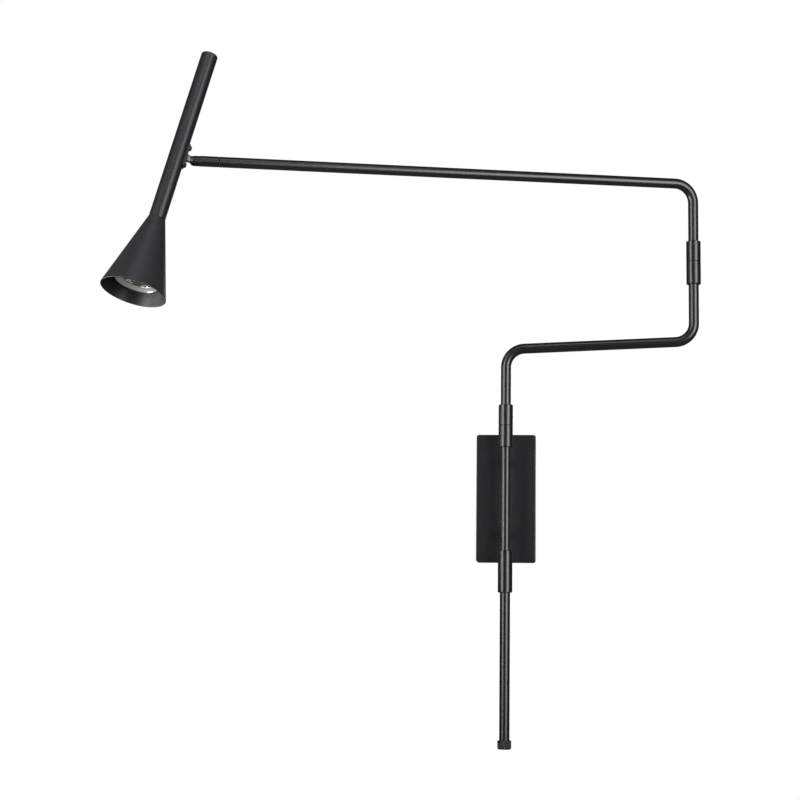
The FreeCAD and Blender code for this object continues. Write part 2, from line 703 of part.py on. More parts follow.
def make_arm_end_fork():
    """Hollow fork with a rounded end that grips the knuckle."""
    outline = [(2.2, FERRULE_END - 6.2), (4.97, FERRULE_END - 6.2), (4.97, FERRULE_END + 0.1)]
    outline += [(FORK_RADIUS - 0.2, FERRULE_END + 0.1), (FORK_RADIUS, FERRULE_END + 0.3)]
    outline += [(FORK_RADIUS, TILT_PIVOT + 1.4), (5.4, TILT_PIVOT + 3.4), (4.4, FORK_END), (2.2, FORK_END)]
    body = lying(turned(outline))
    slot = block(V(FERRULE_END + 0.9, -2.75, -8), V(FORK_END + 1, 2.75, 8))
    nose = rod(FORK_NOSE, V(TILT_PIVOT, -8, 0), V(TILT_PIVOT, 8, 0))
    behind = block(V(FERRULE_END - 8, -8, -8), V(TILT_PIVOT, 8, 8))
    pins = rod(1.5 + 0.02, V(TILT_PIVOT, -8, 0), V(TILT_PIVOT, 8, 0))
    return on_swivel(body.cut(slot).common(nose.fuse(behind)).cut(pins))


def make_tilt_pivot_screws():
    """Two stub screws, one through each ear of the fork, that the knuckle turns on."""
    screws = []
    for side in (-1, 1):
        screw = rod(1.5, V(TILT_PIVOT, side * 1.85, 0), V(TILT_PIVOT, side * 5.35, 0))
        slot = block(V(TILT_PIVOT - 2, side * 5.4 - 0.6, -0.25), V(TILT_PIVOT + 2, side * 5.4 + 0.6, 0.25))
        screws.append(on_swivel(screw.cut(slot)))
    return group(screws)


# ------------------------------------------- head, tilt pivot at the origin, shade pointing down -Z
def on_head(shape):
    """Place a shape made in the head's own upright pose."""
    tilted = turn(shape, V(0, 1, 0), -TILT_DEG)
    return on_swivel(shift(tilted, V(TILT_PIVOT, 0, 0)))


def on_head_axis(shape):
    """Place a shape made on the Z axis, on the head tube's centre line."""
    return on_head(shift(shape, V(HEAD_OFFSET, 0, 0)))


def make_knuckle():
    """Nickel plated knuckle: round-nosed tongue, foot and hollow spigot."""
    r = KNUCKLE_NOSE
    t = KNUCKLE_HALF
    w = KNUCKLE_FOOT
    tongue = rod(r, V(0, -t, 0), V(0, t, 0)).fuse(block(V(0, -t, -r), V(SADDLE_FACE - 1.2, t, r)))
    foot = block(V(SADDLE_FACE - 1.5, -w, -w), V(SADDLE_FACE, w, w))
    foot = foot.makeFillet(1.2, lengthwise_edges(foot, w, w))
    spigot = rod(3.0, V(SADDLE_FACE - 1, 0, 0), V(SADDLE_FACE + SADDLE_THICKNESS - 0.1, 0, 0))
    body = tongue.fuse([foot, spigot]).removeSplitter()
    body = body.cut(rod(KNUCKLE_BORE, V(-5, 0, 0), V(SADDLE_FACE + 4, 0, 0)))
    for side in (-1, 1):
        body = body.cut(rod(1.5 + RUNNING, V(0, side * 1.75, 0), V(0, side * 4, 0)))
    return on_head(body)


def make_head_saddle():
    """Saddle plate with a flat face for the knuckle and a hollow back that sits on the head tube."""
    half_w = SADDLE_WIDTH / 2
    half_l = SADDLE_LENGTH / 2
    body = block(V(SADDLE_FACE, -half_w, -half_l), V(SADDLE_FACE + 3.2, half_w, half_l))
    ends = lengthwise_edges(body, half_w, half_l)
    body = body.makeFillet(3.5, ends)
    rim = [e for e in body.Edges if abs(e.CenterOfMass.x - SADDLE_FACE) < 0.01]
    body = shift(body.makeChamfer(0.4, rim), V(0, 0, SADDLE_RISE))
    body = body.cut(rod(HEAD_R + 0.02, V(HEAD_OFFSET, 0, -40), V(HEAD_OFFSET, 0, 40)))
    body = body.cut(rod(3.0 + FIT, V(SADDLE_FACE - 1, 0, 0), V(SADDLE_FACE + 8, 0, 0)))
    for z in SADDLE_SCREW_HEIGHTS:
        body = body.cut(rod(2.0, V(SADDLE_FACE - 1, 0, z), V(SADDLE_FACE + 8, 0, z)))
    return on_head(body)


def make_saddle_screws():
    """Two domed socket screws that hold the saddle to the head tube."""
    screw = turn(domed_screw(3.3, 2.5, 1.95, SADDLE_THICKNESS + 2.6, 2.5), V(0, 1, 0), -90)
    return group([on_head(shift(screw, V(SADDLE_FACE, 0, z))) for z in SADDLE_SCREW_HEIGHTS])


def make_head_tube():
    """Straight head tube with holes for the saddle's screws and the lead."""
    tube = pipe(HEAD_R, HEAD_BORE, V(HEAD_OFFSET, 0, SHADE_TOP + 0.02), V(HEAD_OFFSET, 0, HEAD_TOP - 3.0))
    wall = HEAD_OFFSET - HEAD_R
    low_screw, high_screw = SADDLE_SCREW_HEIGHTS
    for z, r in ((low_screw, 2.0), (high_screw, 2.0), (0, 2.4)):
        tube = tube.cut(rod(r, V(wall - 2, 0, z), V(wall + 4, 0, z)))
    tube = tube.cut(rod(1.5 + FIT, V(HEAD_OFFSET, 0, SHADE_TOP + 5), V(HEAD_OFFSET + 12, 0, SHADE_TOP + 5)))
    return on_head(tube)


def make_head_cap():
    """Plug with a softly rounded rim that closes the top of the head tube."""
    seat = HEAD_TOP - 3.0
    r = 1.6
    steps = 8
    outline = [(0, HEAD_TOP)]
    for i in range(steps + 1):
        a = math.radians(90 * (1 - i / steps))
        outline.append((HEAD_R - r + r * math.cos(a), HEAD_TOP - r + r * math.sin(a)))
    outline += [(HEAD_R, seat + 0.05), (HEAD_BORE - 0.03, seat + 0.05), (HEAD_BORE - 0.03, seat - 8)]
    outline += [(HEAD_BORE - 1.2, seat - 8), (HEAD_BORE - 1.2, seat), (0, seat)]
    return on_head_axis(turned(outline))


def make_shade():
    """Spun cone with a short neck inside the head tube."""
    mouth = SHADE_MOUTH_OD / 2
    slope = (mouth - HEAD_R) / (SHADE_TOP - SHADE_MOUTH)
    wall = SHADE_WALL * math.sqrt(1 + slope ** 2)
    neck = HEAD_BORE - 0.05
    throat = SHADE_TOP - 3.2
    ledge = HEAD_R + SHADE_LEDGE
    outline = [(neck - 1.2, SHADE_TOP + 10), (neck, SHADE_TOP + 10), (neck, SHADE_TOP), (ledge, SHADE_TOP)]
    outline += [(mouth, SHADE_MOUTH), (mouth - wall, SHADE_MOUTH)]
    outline += [(HEAD_R + 3.2 * slope - wall, throat), (neck - 1.2, throat + 2.0)]
    body = turned(outline)
    body = body.cut(rod(1.5 + FIT, V(0, 0, SHADE_TOP + 5), V(12, 0, SHADE_TOP + 5)))
    return on_head_axis(body)


def make_shade_grub_screw():
    """Grub screw that holds the shade's neck in the head tube."""
    screw = grub_screw(1.5, 7.3, HEAD_R + 0.1, 1.0, 7.0)
    return on_head_axis(shift(screw, V(0, 0, SHADE_TOP + 5)))


def make_holder_bracket():
    """Dished steel disc wedged in the cone that carries the lamp holder."""
    outline = [(3.6, HOLDER_BACK + 0.1), (12.9, HOLDER_BACK + 0.1), (12.4, HOLDER_BACK + 1.7)]
    outline += [(3.6, HOLDER_BACK + 1.7)]
    disc = turned(outline)
    for side in (-1, 1):
        y = side * HOLDER_SCREW_Y
        disc = disc.cut(rod(1.5 + FIT, V(0, y, HOLDER_BACK - 1), V(0, y, HOLDER_BACK + 3)))
    return on_head_axis(disc)


def make_lamp_holder():
    """Round ceramic twist-lock holder with two pin wells."""
    outline = [(0, HOLDER_BACK), (11.2, HOLDER_BACK), (12, HOLDER_BACK - 0.8)]
    outline += [(12, HOLDER_FRONT + 0.8), (11.2, HOLDER_FRONT)]
    outline += [(0, HOLDER_FRONT)]
    body = turned(outline)
    for side in (-1, 1):
        x = side * PIN_SPACING / 2
        y = side * HOLDER_SCREW_Y
        body = body.cut(rod(2.8, V(x, 0, HOLDER_FRONT - 1), V(x, 0, HOLDER_FRONT + 8)))
        body = body.cut(rod(1.5 + FIT, V(0, y, HOLDER_FRONT - 1), V(0, y, HOLDER_BACK + 1)))
        body = body.cut(rod(2.9, V(0, y, HOLDER_FRONT - 1), V(0, y, HOLDER_FRONT + 3)))
    return on_head_axis(body)


def make_holder_screws():
    """Two screws through the lamp holder into its disc."""
    screw = turn(domed_screw(2.7, 1.8, 1.5, 15.4, 1.5), V(1, 0, 0), 180)
    height = HOLDER_FRONT + 2.95
    return group([on_head_axis(shift(screw, V(0, side * HOLDER_SCREW_Y, height))) for side in (-1, 1)])


def make_lamp_body():
    """Reflector lamp: round base and flared body, hollow behind the lens."""
    rim = LAMP_FACE + 3.6
    outline = [(0, LAMP_BACK), (10.2, LAMP_BACK)]
    outline += [(11.0, LAMP_BACK - 0.8), (11.0, LAMP_BACK - 9), (13.5, LAMP_BACK - 15)]
    outline += [(18.5, LAMP_BACK - 27), (22.6, LAMP_BACK - 38), (24.4, rim + 1.2), (24.4, rim), (22.9, rim)]
    outline += [(21.2, LAMP_BACK - 37), (17.0, LAMP_BACK - 27), (12.0, LAMP_BACK - 17), (0, LAMP_BACK - 15)]
    return on_head_axis(turned(outline))


def make_lamp_pins():
    """Two headed contact pins."""
    top = LAMP_BACK + 6.6
    pins = []
    for side in (-1, 1):
        outline = [(0, LAMP_BACK), (1.6, LAMP_BACK), (1.6, top - 2.6), (2.4, top - 2.6)]
        outline += [(2.4, top - 0.3), (2.1, top), (0, top)]
        pins.append(on_head_axis(shift(turned(outline), V(side * PIN_SPACING / 2, 0, 0))))
    return group(pins)


def make_lamp_bezel():
    """Bright funnel-shaped rim round the lamp's lens."""
    back = LAMP_FACE + 3.5
    outline = [(WINDOW_RADIUS, back + 1.7), (WINDOW_RADIUS + 1.4, back + 1.7), (WINDOW_RADIUS + 1.9, back)]
    outline += [(LAMP_RADIUS - 0.4, back), (LAMP_RADIUS, back - 0.5), (LAMP_RADIUS, LAMP_FACE + 0.8)]
    outline += [(LAMP_RADIUS - 0.8, LAMP_FACE), (LAMP_RADIUS - 1.4, LAMP_FACE), (WINDOW_RADIUS, back - 0.3)]
    return on_head_axis(turned(outline))


def make_lamp_lens():
    """Shallow domed lens inside the bezel."""
    back = LAMP_FACE + 5.0
    edge = WINDOW_RADIUS - 0.05
    outline = [(0, back), (edge, back), (edge, back - 1.4), (12, back - 1.8)]
    outline += [(6, back - 2.0), (0, back - 2.1)]
    return on_head_axis(turned(outline))


def make_head_lead():
    """Twin lead from the knuckle's bore down the head tube to the lamp holder."""
    points = [V(4.5, 0, 0), V(HEAD_OFFSET, 0, 0), V(HEAD_OFFSET, 0, HOLDER_BACK + 0.2)]
    return on_head(bent_rod(points, 5.0, LEAD_RADIUS))


# ---------------------------------------------------------------- every node
def all_parts():
    """Node name to solid, body by body."""
    parts = {}
    parts["wall_bracket"] = make_wall_bracket()
    parts["cable_grommet"] = make_cable_grommet()
    parts["earth_screw"] = make_earth_screw()
    parts["terminal_block"] = make_terminal_block()
    parts["terminal_screws"] = make_terminal_screws()
    parts["wall_canopy"] = make_wall_canopy()
    parts["canopy_screws"] = make_canopy_screws()
    parts["stem_posts"] = make_stem_posts()
    parts["post_nuts"] = make_post_nuts()
    parts["stem_tube"] = make_stem_tube()
    parts["stem_grub_screw"] = make_stem_grub_screw()
    parts["lower_collar"] = make_lower_collar()
    parts["drop_tube"] = make_drop_tube()
    parts["switch_body"] = make_switch_body()
    parts["shoulder_collar_lower"] = at_stem(joint_collar_lower(SHOULDER_BOTTOM, SHOULDER_SEAM))
    parts["shoulder_pivot"] = at_stem(joint_pivot(SHOULDER_SEAM, SHOULDER_RANGE, BACK_AZIMUTH))
    parts["shoulder_thrust_washer"] = at_stem(joint_thrust_washer(SHOULDER_SEAM))
    parts["shoulder_retaining_ring"] = at_stem(joint_retaining_ring(SHOULDER_SEAM))
    parts["feed_cable"] = make_feed_cable()
    parts["switch_cable"] = make_switch_cable()

    parts["switch_knob"] = make_switch_knob()
    parts["switch_spindle"] = make_switch_spindle()

    parts["shoulder_collar_upper"] = at_stem(joint_collar_upper(SHOULDER_SEAM, SHOULDER_TOP, BACK_AZIMUTH))
    parts["shoulder_bush"] = at_stem(joint_bush(SHOULDER_SEAM))
    parts["shoulder_friction_washer"] = at_stem(joint_friction_washer(SHOULDER_SEAM))
    parts["shoulder_stop_screw"] = at_stem(joint_stop_screw(SHOULDER_SEAM, BACK_AZIMUTH))
    parts["lower_arm_tube"] = make_lower_arm_tube()
    parts["lower_arm_cable"] = make_lower_arm_cable()
    parts["elbow_collar_lower"] = at_elbow(joint_collar_lower(ELBOW_BOTTOM, ELBOW_SEAM))
    parts["elbow_pivot"] = at_elbow(joint_pivot(ELBOW_SEAM, ELBOW_RANGE, ELBOW_SCREW_AZIMUTH))
    parts["elbow_thrust_washer"] = at_elbow(joint_thrust_washer(ELBOW_SEAM))
    parts["elbow_retaining_ring"] = at_elbow(joint_retaining_ring(ELBOW_SEAM))

    parts["elbow_collar_upper"] = at_elbow(joint_collar_upper(ELBOW_SEAM, ELBOW_TOP, ELBOW_SCREW_AZIMUTH))
    parts["elbow_bush"] = at_elbow(joint_bush(ELBOW_SEAM))
    parts["elbow_friction_washer"] = at_elbow(joint_friction_washer(ELBOW_SEAM))
    parts["elbow_stop_screw"] = at_elbow(joint_stop_screw(ELBOW_SEAM, ELBOW_SCREW_AZIMUTH))
    parts["upper_arm_tube"] = make_upper_arm_tube()
    parts["upper_arm_cable"] = make_upper_arm_cable()
    parts["arm_end_bush"] = make_arm_end_bush()
    parts["swivel_retaining_ring"] = make_swivel_retaining_ring()

    parts["swivel_ferrule"] = make_swivel_ferrule()
    parts["swivel_friction_washer"] = make_swivel_friction_washer()
    parts["swivel_stop_screw"] = make_swivel_stop_screw()
    parts["arm_end_fork"] = make_arm_end_fork()
    parts["tilt_pivot_screws"] = make_tilt_pivot_screws()

    parts["knuckle"] = make_knuckle()
    parts["head_saddle"] = make_head_saddle()
    parts["saddle_screws"] = make_saddle_screws()
    parts["head_tube"] = make_head_tube()
    parts["head_cap"] = make_head_cap()
    parts["shade"] = make_shade()
    parts["shade_grub_screw"] = make_shade_grub_screw()
    parts["holder_bracket"] = make_holder_bracket()
    parts["lamp_holder"] = make_lamp_holder()
    parts["holder_screws"] = make_holder_screws()
    parts["lamp_body"] = make_lamp_body()
    parts["lamp_pins"] = make_lamp_pins()
    parts["lamp_bezel"] = make_lamp_bezel()
    parts["lamp_lens"] = make_lamp_lens()
    parts["head_lead"] = make_head_lead()
    return parts


os.makedirs("parts", exist_ok=True)
for node, shape in all_parts().items():
    shape.exportStep(os.path.join("parts", node + ".step"))
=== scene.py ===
"""Looks of the swing arm wall sconce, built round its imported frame.

Places are in metres; sizes named in capitals and handed to the makers are in millimetres.
"""

import json
import math

import bmesh
import bpy
import numpy as np
from mathutils import Matrix, Vector


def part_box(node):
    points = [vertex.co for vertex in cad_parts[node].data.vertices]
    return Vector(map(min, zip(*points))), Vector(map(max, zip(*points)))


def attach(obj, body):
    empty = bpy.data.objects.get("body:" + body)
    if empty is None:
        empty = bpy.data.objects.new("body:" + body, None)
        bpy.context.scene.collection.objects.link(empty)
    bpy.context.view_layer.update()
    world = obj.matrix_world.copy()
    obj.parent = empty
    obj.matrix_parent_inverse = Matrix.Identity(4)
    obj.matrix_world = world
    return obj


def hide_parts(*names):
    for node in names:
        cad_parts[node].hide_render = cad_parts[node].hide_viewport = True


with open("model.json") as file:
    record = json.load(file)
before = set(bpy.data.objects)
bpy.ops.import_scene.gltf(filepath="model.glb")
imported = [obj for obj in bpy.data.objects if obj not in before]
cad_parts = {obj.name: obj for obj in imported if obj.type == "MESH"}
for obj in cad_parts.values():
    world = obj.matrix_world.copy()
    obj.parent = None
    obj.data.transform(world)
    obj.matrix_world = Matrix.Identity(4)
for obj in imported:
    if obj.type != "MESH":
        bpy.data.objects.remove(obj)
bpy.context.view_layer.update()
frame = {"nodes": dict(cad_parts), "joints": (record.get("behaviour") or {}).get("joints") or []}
NODES = frame["nodes"]
JOINTS = {joint["name"]: joint for joint in frame["joints"]}
MM = 0.001

# -------- sizes of the object, millimetres
PLATE_HALF_WIDTH = 35.25
PLATE_HALF_HEIGHT = 75.75
PLATE_CORNER = 3.0
PLATE_WALL = 1.5
PLATE_EDGE = 1.0
SIDE_SCREW_RADIUS = 2.0
POST_BORE = 3.5
POST_THREAD_RADIUS = 4.7
POST_RADIUS = 5.0
POST_SEAT_RADIUS = 5.8
POST_SEAT_HEIGHT = 2.5
GRUB_RADIUS = 1.5
HOLE_ROOM = 0.03
TUBE_RADIUS = 6.0
TUBE_WALL = 1.0
BEND_RADIUS = 22.5
COLLAR_RADIUS = 8.5
COLLAR_BORE = TUBE_RADIUS + 0.04
PIVOT_ROOM_RADIUS = 6.52
COLLAR_CHAMFER = 0.6
SEAM_CHAMFER = 0.3
ARM1_HEIGHT = 175.3
ARM1_RISE_DEGREES = 2.5
RUN_LENGTH = 596.0
TUBE_END = 559.2
RING = (559.5, 569.2)
FERRULE = (569.6, 591.0)
FERRULE_STOP_RADIUS = 1.25
FORK_RADIUS = 5.8
FORK_NOSE = 5.2
FORK_END = RUN_LENGTH + FORK_NOSE
FORK_HALF_SLOT = 2.75
HEAD_RADIUS = 9.5
HEAD_WALL = 1.0
HEAD_OFFSET = 20.6
TILT_DEGREES = 17.4
SADDLE_SCREW_HEIGHTS = (12.4, -9.0)
SHADE_TOP = -81.3
SHADE_MOUTH_RADIUS = 37.4
SHADE_WALL = 1.2
RIM_RADIUS = 25.0
WINDOW_RADIUS = 17.6
HOLDER_RADIUS = 12.0
HOLDER_SCREW_OFFSET = 8.4
KNOB_RADIUS = 8.1
KNURLS = 40
CABLE_RADIUS = 1.9
LEAD_RADIUS = 1.5
FLOOR_HEIGHT = -1750.0
FULL_TURN = 6.2832
ROUND = 96
SMALL_ROUND = 48


# -------- places, all read from the frame
def upright(joint):
    """Frame with its axis on Z through a joint's pivot, with z = 0 at the wall plate's centre height."""
    x, y, _ = JOINTS[joint]["pos_m"]
    return Matrix.Translation((x, y, 0))


def moved(x, y, z):
    """Shift by millimetres."""
    return Matrix.Translation((x * MM, y * MM, z * MM))


def rotated(degrees, axis):
    """Turn about a frame's own axis."""
    return Matrix.Rotation(math.radians(degrees), 4, axis)


def swivel_frame():
    """Frame at the head's pivot, X along the upper arm's run and Y along the tilt axis."""
    x = RUN_AXIS.normalized()
    y = Vector(JOINTS["head_tilt"]["axis"]).normalized()
    return Matrix.Translation(PIVOT) @ Matrix((x, y, x.cross(y))).transposed().to_4x4()


def span(node, place):
    """Lowest and highest corner of a CAD node in a local frame, in millimetres."""
    mesh = NODES[node].data
    co = np.empty(len(mesh.vertices) * 3)
    mesh.vertices.foreach_get("co", co)
    inverse = np.array(place.inverted())
    local = co.reshape(-1, 3) @ inverse[:3, :3].T + inverse[:3, 3]
    return local.min(0) / MM, local.max(0) / MM


def heights(node, place):
    """Lowest and highest z of a CAD node in a local frame, in millimetres."""
    low, high = span(node, place)
    return low[2], high[2]


def run_point(distance):
    """Point on the upper arm's run in millimetres, at a distance from the elbow's axis."""
    return tuple((PIVOT + RUN_AXIS * (distance - RUN_LENGTH) * MM) / MM)


def local_point(place, x, y, z):
    """Point of a local frame in metres, from millimetres."""
    return place @ Vector((x * MM, y * MM, z * MM))


def screw_axis(node, place):
    """Frame with +Z outward along a small radial screw."""
    low, high = span(node, place)
    middle = Vector(((low + high) / 2 * MM).tolist())
    out = Vector((middle.x, middle.y, 0)).normalized()
    return place @ Matrix.Translation((0, 0, middle.z)) @ out.to_track_quat("Z", "Y").to_matrix().to_4x4()


STEM = upright("shoulder_swing")
ELBOW = upright("elbow_swing")
RUN_AXIS = Vector(JOINTS["arm_end_roll"]["axis"])
PIVOT = Vector(JOINTS["head_tilt"]["pos_m"])
SWIVEL = swivel_frame()
ALONG_RUN = SWIVEL @ rotated(90, "Y")
HEAD = SWIVEL @ rotated(-TILT_DEGREES, "Y")
HEAD_AXIS = HEAD @ moved(HEAD_OFFSET, 0, 0)
OWN_FRAME = Matrix.Identity(4)
STEM_Y = STEM.translation.y / MM
COVER_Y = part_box("wall_canopy")[0].y / MM
post_low, post_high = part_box("stem_posts")
POST_HEIGHTS = (post_high.z / MM - POST_SEAT_RADIUS, post_low.z / MM + POST_SEAT_RADIUS)
screw_low, screw_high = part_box("canopy_screws")
SIDE_SCREW_Y = (screw_low.y + screw_high.y) / 2 / MM


# -------- outlines
def softened(points, steps=4, loop=False):
    """Outline of (radius, height, rounding) corners, each rounded and held by a close edge loop."""
    done = []
    count = len(points)
    for i, (r, z, rounding) in enumerate(points):
        here = Vector((r, z))
        if rounding <= 0 or (not loop and i in (0, count - 1)):
            done.append(here)
            continue
        before = Vector(points[i - 1][:2]) - here
        after = Vector(points[(i + 1) % count][:2]) - here
        half = before.angle(after) / 2
        reach = min(rounding / math.tan(half), 0.45 * before.length, 0.45 * after.length)
        size = reach * math.tan(half)
        u = before.normalized()
        v = after.normalized()
        centre = here + (u + v).normalized() * size / math.sin(half)
        start = here + u * reach
        end = here + v * reach
        hold = min(0.15, 0.3 * rounding)
        if before.length > 2 * reach + 2 * hold:
            done.append(start + u * hold)
        for k in range(steps + 1):
            arm = (start - centre).lerp(end - centre, k / steps)
            done.append(centre + arm.normalized() * size)
        if after.length > 2 * reach + 2 * hold:
            done.append(end + v * hold)
    return [(max(p.x, 0.0), p.y) for p in done]


def spaced(outline, step):
    """Outline with its long runs divided, for a surface that is worked afterwards."""
    done = [outline[0]]
    for first, last in zip(outline, outline[1:]):
        length = math.hypot(last[0] - first[0], last[1] - first[1])
        parts = max(1, int(length / step))
        for k in range(1, parts + 1):
            t = k / parts
            done.append((first[0] + (last[0] - first[0]) * t, first[1] + (last[1] - first[1]) * t))
    return done


# -------- mesh making
def mesh_from(bm):
    """Plain mesh from a bmesh."""
    mesh = bpy.data.meshes.new("mesh")
    bm.to_mesh(mesh)
    bm.free()
    return mesh


def skinned(bm):
    """Plain mesh from a bmesh, its doubles merged and its faces outward."""
    bmesh.ops.remove_doubles(bm, verts=bm.verts, dist=1e-7)
    bmesh.ops.recalc_face_normals(bm, faces=bm.faces)
    return mesh_from(bm)


def turned(place, outline, rounds=ROUND, loop=False):
    """Turned piece: an outline of (radius, height) spun about the local Z axis."""
    bm = bmesh.new()
    rings = []
    for r, z in outline:
        if r < 1e-6:
            rings.append([bm.verts.new(local_point(place, 0, 0, z))])
            continue
        ring = []
        for k in range(rounds):
            a = 2 * math.pi * k / rounds
            ring.append(bm.verts.new(local_point(place, r * math.cos(a), r * math.sin(a), z)))
        rings.append(ring)
    pairs = list(zip(rings, rings[1:]))
    if loop:
        pairs.append((rings[-1], rings[0]))
    for first, second in pairs:
        for k in range(rounds):
            n = (k + 1) % rounds
            corners = [first[k % len(first)], first[n % len(first)]]
            corners += [second[n % len(second)], second[k % len(second)]]
            corners = [c for j, c in enumerate(corners) if c is not corners[j - 1]]
            if len(corners) >= 3:
                bm.faces.new(corners)
    return skinned(bm)


def hollow(place, corners, steps=3, rounds=ROUND):
    """Hollow turned piece from a closed outline of (radius, height, rounding) corners."""
    return turned(place, softened(corners, steps, True), rounds, True)


def rounded_rectangle(half_x, half_y, corner, steps=8):
    """Closed loop of a rounded rectangle, anticlockwise."""
    loop = []
    for cx, cy, start in ((1, 1, 0), (-1, 1, 90), (-1, -1, 180), (1, -1, 270)):
        for k in range(steps + 1):
            a = math.radians(start + 90 * k / steps)
            x = cx * (half_x - corner) + corner * math.cos(a)
            y = cy * (half_y - corner) + corner * math.sin(a)
            loop.append((x, y))
    return loop


def lofted(place, loops):
    """Skin over loops of (x, y, z) points, closed at both ends."""
    bm = bmesh.new()
    rings = [[bm.verts.new(place @ (Vector(p) * MM)) for p in loop] for loop in loops]
    for first, second in zip(rings, rings[1:]):
        count = len(first)
        for k in range(count):
            n = (k + 1) % count
            bm.faces.new((first[k], first[n], second[n], second[k]))
    bm.faces.new(rings[0])
    bm.faces.new(rings[-1])
    return skinned(bm)


def stacked_block(place, half_x, half_y, corner, levels):
    """Rounded block along local Z from (inset, height) levels."""
    loops = []
    for inset, z in levels:
        flat = rounded_rectangle(half_x - inset, half_y - inset, max(corner - inset, 0.3))
        loops.append([(x, y, z) for x, y in flat])
    return lofted(place, loops)


def plain_rod(place, radius, low, high, rounds=SMALL_ROUND):
    """Cutter: a round bar along local Z."""
    return turned(place, [(0, low), (radius, low), (radius, high), (0, high)], rounds)


def plain_block(place, low, high):
    """Cutter: a box between two local corners."""
    x0, y0, z0 = low
    x1, y1, z1 = high
    return lofted(place, [[(x0, y0, z), (x1, y0, z), (x1, y1, z), (x0, y1, z)] for z in (z0, z1)])


def six_sided(across, low, high):
    """Cutter: a hexagonal bar along local Z."""
    return plain_rod(OWN_FRAME, across / math.sqrt(3), low, high, 6)


def temporary(mesh):
    """Object for working on a mesh."""
    item = bpy.data.objects.new("work", mesh)
    bpy.context.scene.collection.objects.link(item)
    return item


def worked(item):
    """Mesh of an object with all its modifiers applied; the object is removed."""
    bpy.context.view_layer.update()
    graph = bpy.context.evaluated_depsgraph_get()
    mesh = bpy.data.meshes.new_from_object(item.evaluated_get(graph))
    bpy.data.objects.remove(item)
    return mesh


def joined(meshes):
    """One mesh from several."""
    bm = bmesh.new()
    for mesh in meshes:
        bm.from_mesh(mesh)
    return mesh_from(bm)


def combined(mesh, others, operation="DIFFERENCE"):
    """Mesh with others cut away, kept or added."""
    item = temporary(mesh)
    tools = [temporary(other) for other in others]
    for tool in tools:
        step = item.modifiers.new("step", "BOOLEAN")
        step.operation = operation
        step.solver = "EXACT"
        step.object = tool
    result = worked(item)
    for tool in tools:
        bpy.data.objects.remove(tool)
    return result


def eased(mesh, width, steps=2, angle=38):
    """Mesh with its sharp edges rounded."""
    item = temporary(mesh)
    bevel = item.modifiers.new("edges", "BEVEL")
    bevel.width = width * MM
    bevel.segments = steps
    bevel.limit_method = "ANGLE"
    bevel.angle_limit = math.radians(angle)
    return worked(item)


def from_frame(node, width, steps=2, angle=38):
    """Copy of a CAD node with merged corners and rounded edges."""
    bm = bmesh.new()
    bm.from_mesh(NODES[node].data)
    bmesh.ops.remove_doubles(bm, verts=bm.verts, dist=2e-6)
    bmesh.ops.dissolve_limit(bm, angle_limit=math.radians(0.6), verts=bm.verts, edges=bm.edges)
    return eased(mesh_from(bm), width, steps, angle)


# -------- nodes
SOCKETS = {float: "Float", int: "Int", bool: "Bool", type(None): "Object"}


class Nodes:
    """Maker of nodes in one tree."""

    def __init__(self, tree):
        self.tree = tree

    def fill(self, node, feeds):
        """Feed inputs, by name or number, from plain values, sockets or nodes' first outputs."""
        for slot, source in feeds.items():
            if isinstance(source, bpy.types.Node):
                source = source.outputs[0]
            if isinstance(source, bpy.types.NodeSocket):
                self.tree.links.new(source, node.inputs[slot])
            else:
                node.inputs[slot].default_value = source

    def add(self, kind, feeds={}, **settings):
        """New node, set and then fed."""
        node = self.tree.nodes.new(kind)
        for key, value in settings.items():
            setattr(node, key, value)
        self.fill(node, feeds)
        return node

    def sum(self, operation, *sources):
        """Math node."""
        return self.add("ShaderNodeMath", dict(enumerate(sources)), operation=operation)

    def product(self, first, *others):
        """Math nodes that multiply their sources in turn."""
        for other in others:
            first = self.sum("MULTIPLY", first, other)
        return first


class Tree(Nodes):
    """A geometry node tree with named inputs, ending in Realize Instances and Set Material."""

    def __init__(self, name, inputs):
        super().__init__(bpy.data.node_groups.new(name, "GeometryNodeTree"))
        face = self.tree.interface
        face.new_socket("Geometry", in_out="INPUT", socket_type="NodeSocketGeometry")
        for label, value in inputs.items():
            socket = face.new_socket(label, in_out="INPUT", socket_type="NodeSocket" + SOCKETS[type(value)])
            if value is not None:
                socket.default_value = value
        face.new_socket("Material", in_out="INPUT", socket_type="NodeSocketMaterial")
        face.new_socket("Geometry", in_out="OUTPUT", socket_type="NodeSocketGeometry")
        self.given = self.add("NodeGroupInput").outputs

    def position(self):
        """The x, y and z of each point."""
        return self.add("ShaderNodeSeparateXYZ", {0: self.add("GeometryNodeInputPosition")}).outputs

    def circle(self, sides, radius):
        """Round section."""
        feeds = {"Resolution": sides, "Radius": radius}
        return self.add("GeometryNodeCurvePrimitiveCircle", feeds, mode="RADIUS")

    def sweep(self, curve, section, ends):
        """Section swept along a curve."""
        feeds = {"Curve": curve, "Profile Curve": section, "Fill Caps": ends}
        return self.add("GeometryNodeCurveToMesh", feeds)

    def pushed(self, offset):
        """Starting shape with its points moved; the tree ends here."""
        feeds = {"Geometry": self.given["Geometry"], "Offset": offset}
        return self.close(self.add("GeometryNodeSetPosition", feeds))

    def clamped(self, source):
        """Source held between 0 and 1."""
        return self.sum("MAXIMUM", self.sum("MINIMUM", source, 1.0), 0.0)

    def close(self, geometry):
        """End of the tree."""
        real = self.add("GeometryNodeRealizeInstances", {"Geometry": geometry})
        paint = self.add("GeometryNodeSetMaterial", {"Geometry": real, "Material": self.given["Material"]})
        self.add("NodeGroupOutput", {"Geometry": paint})
        return self.tree


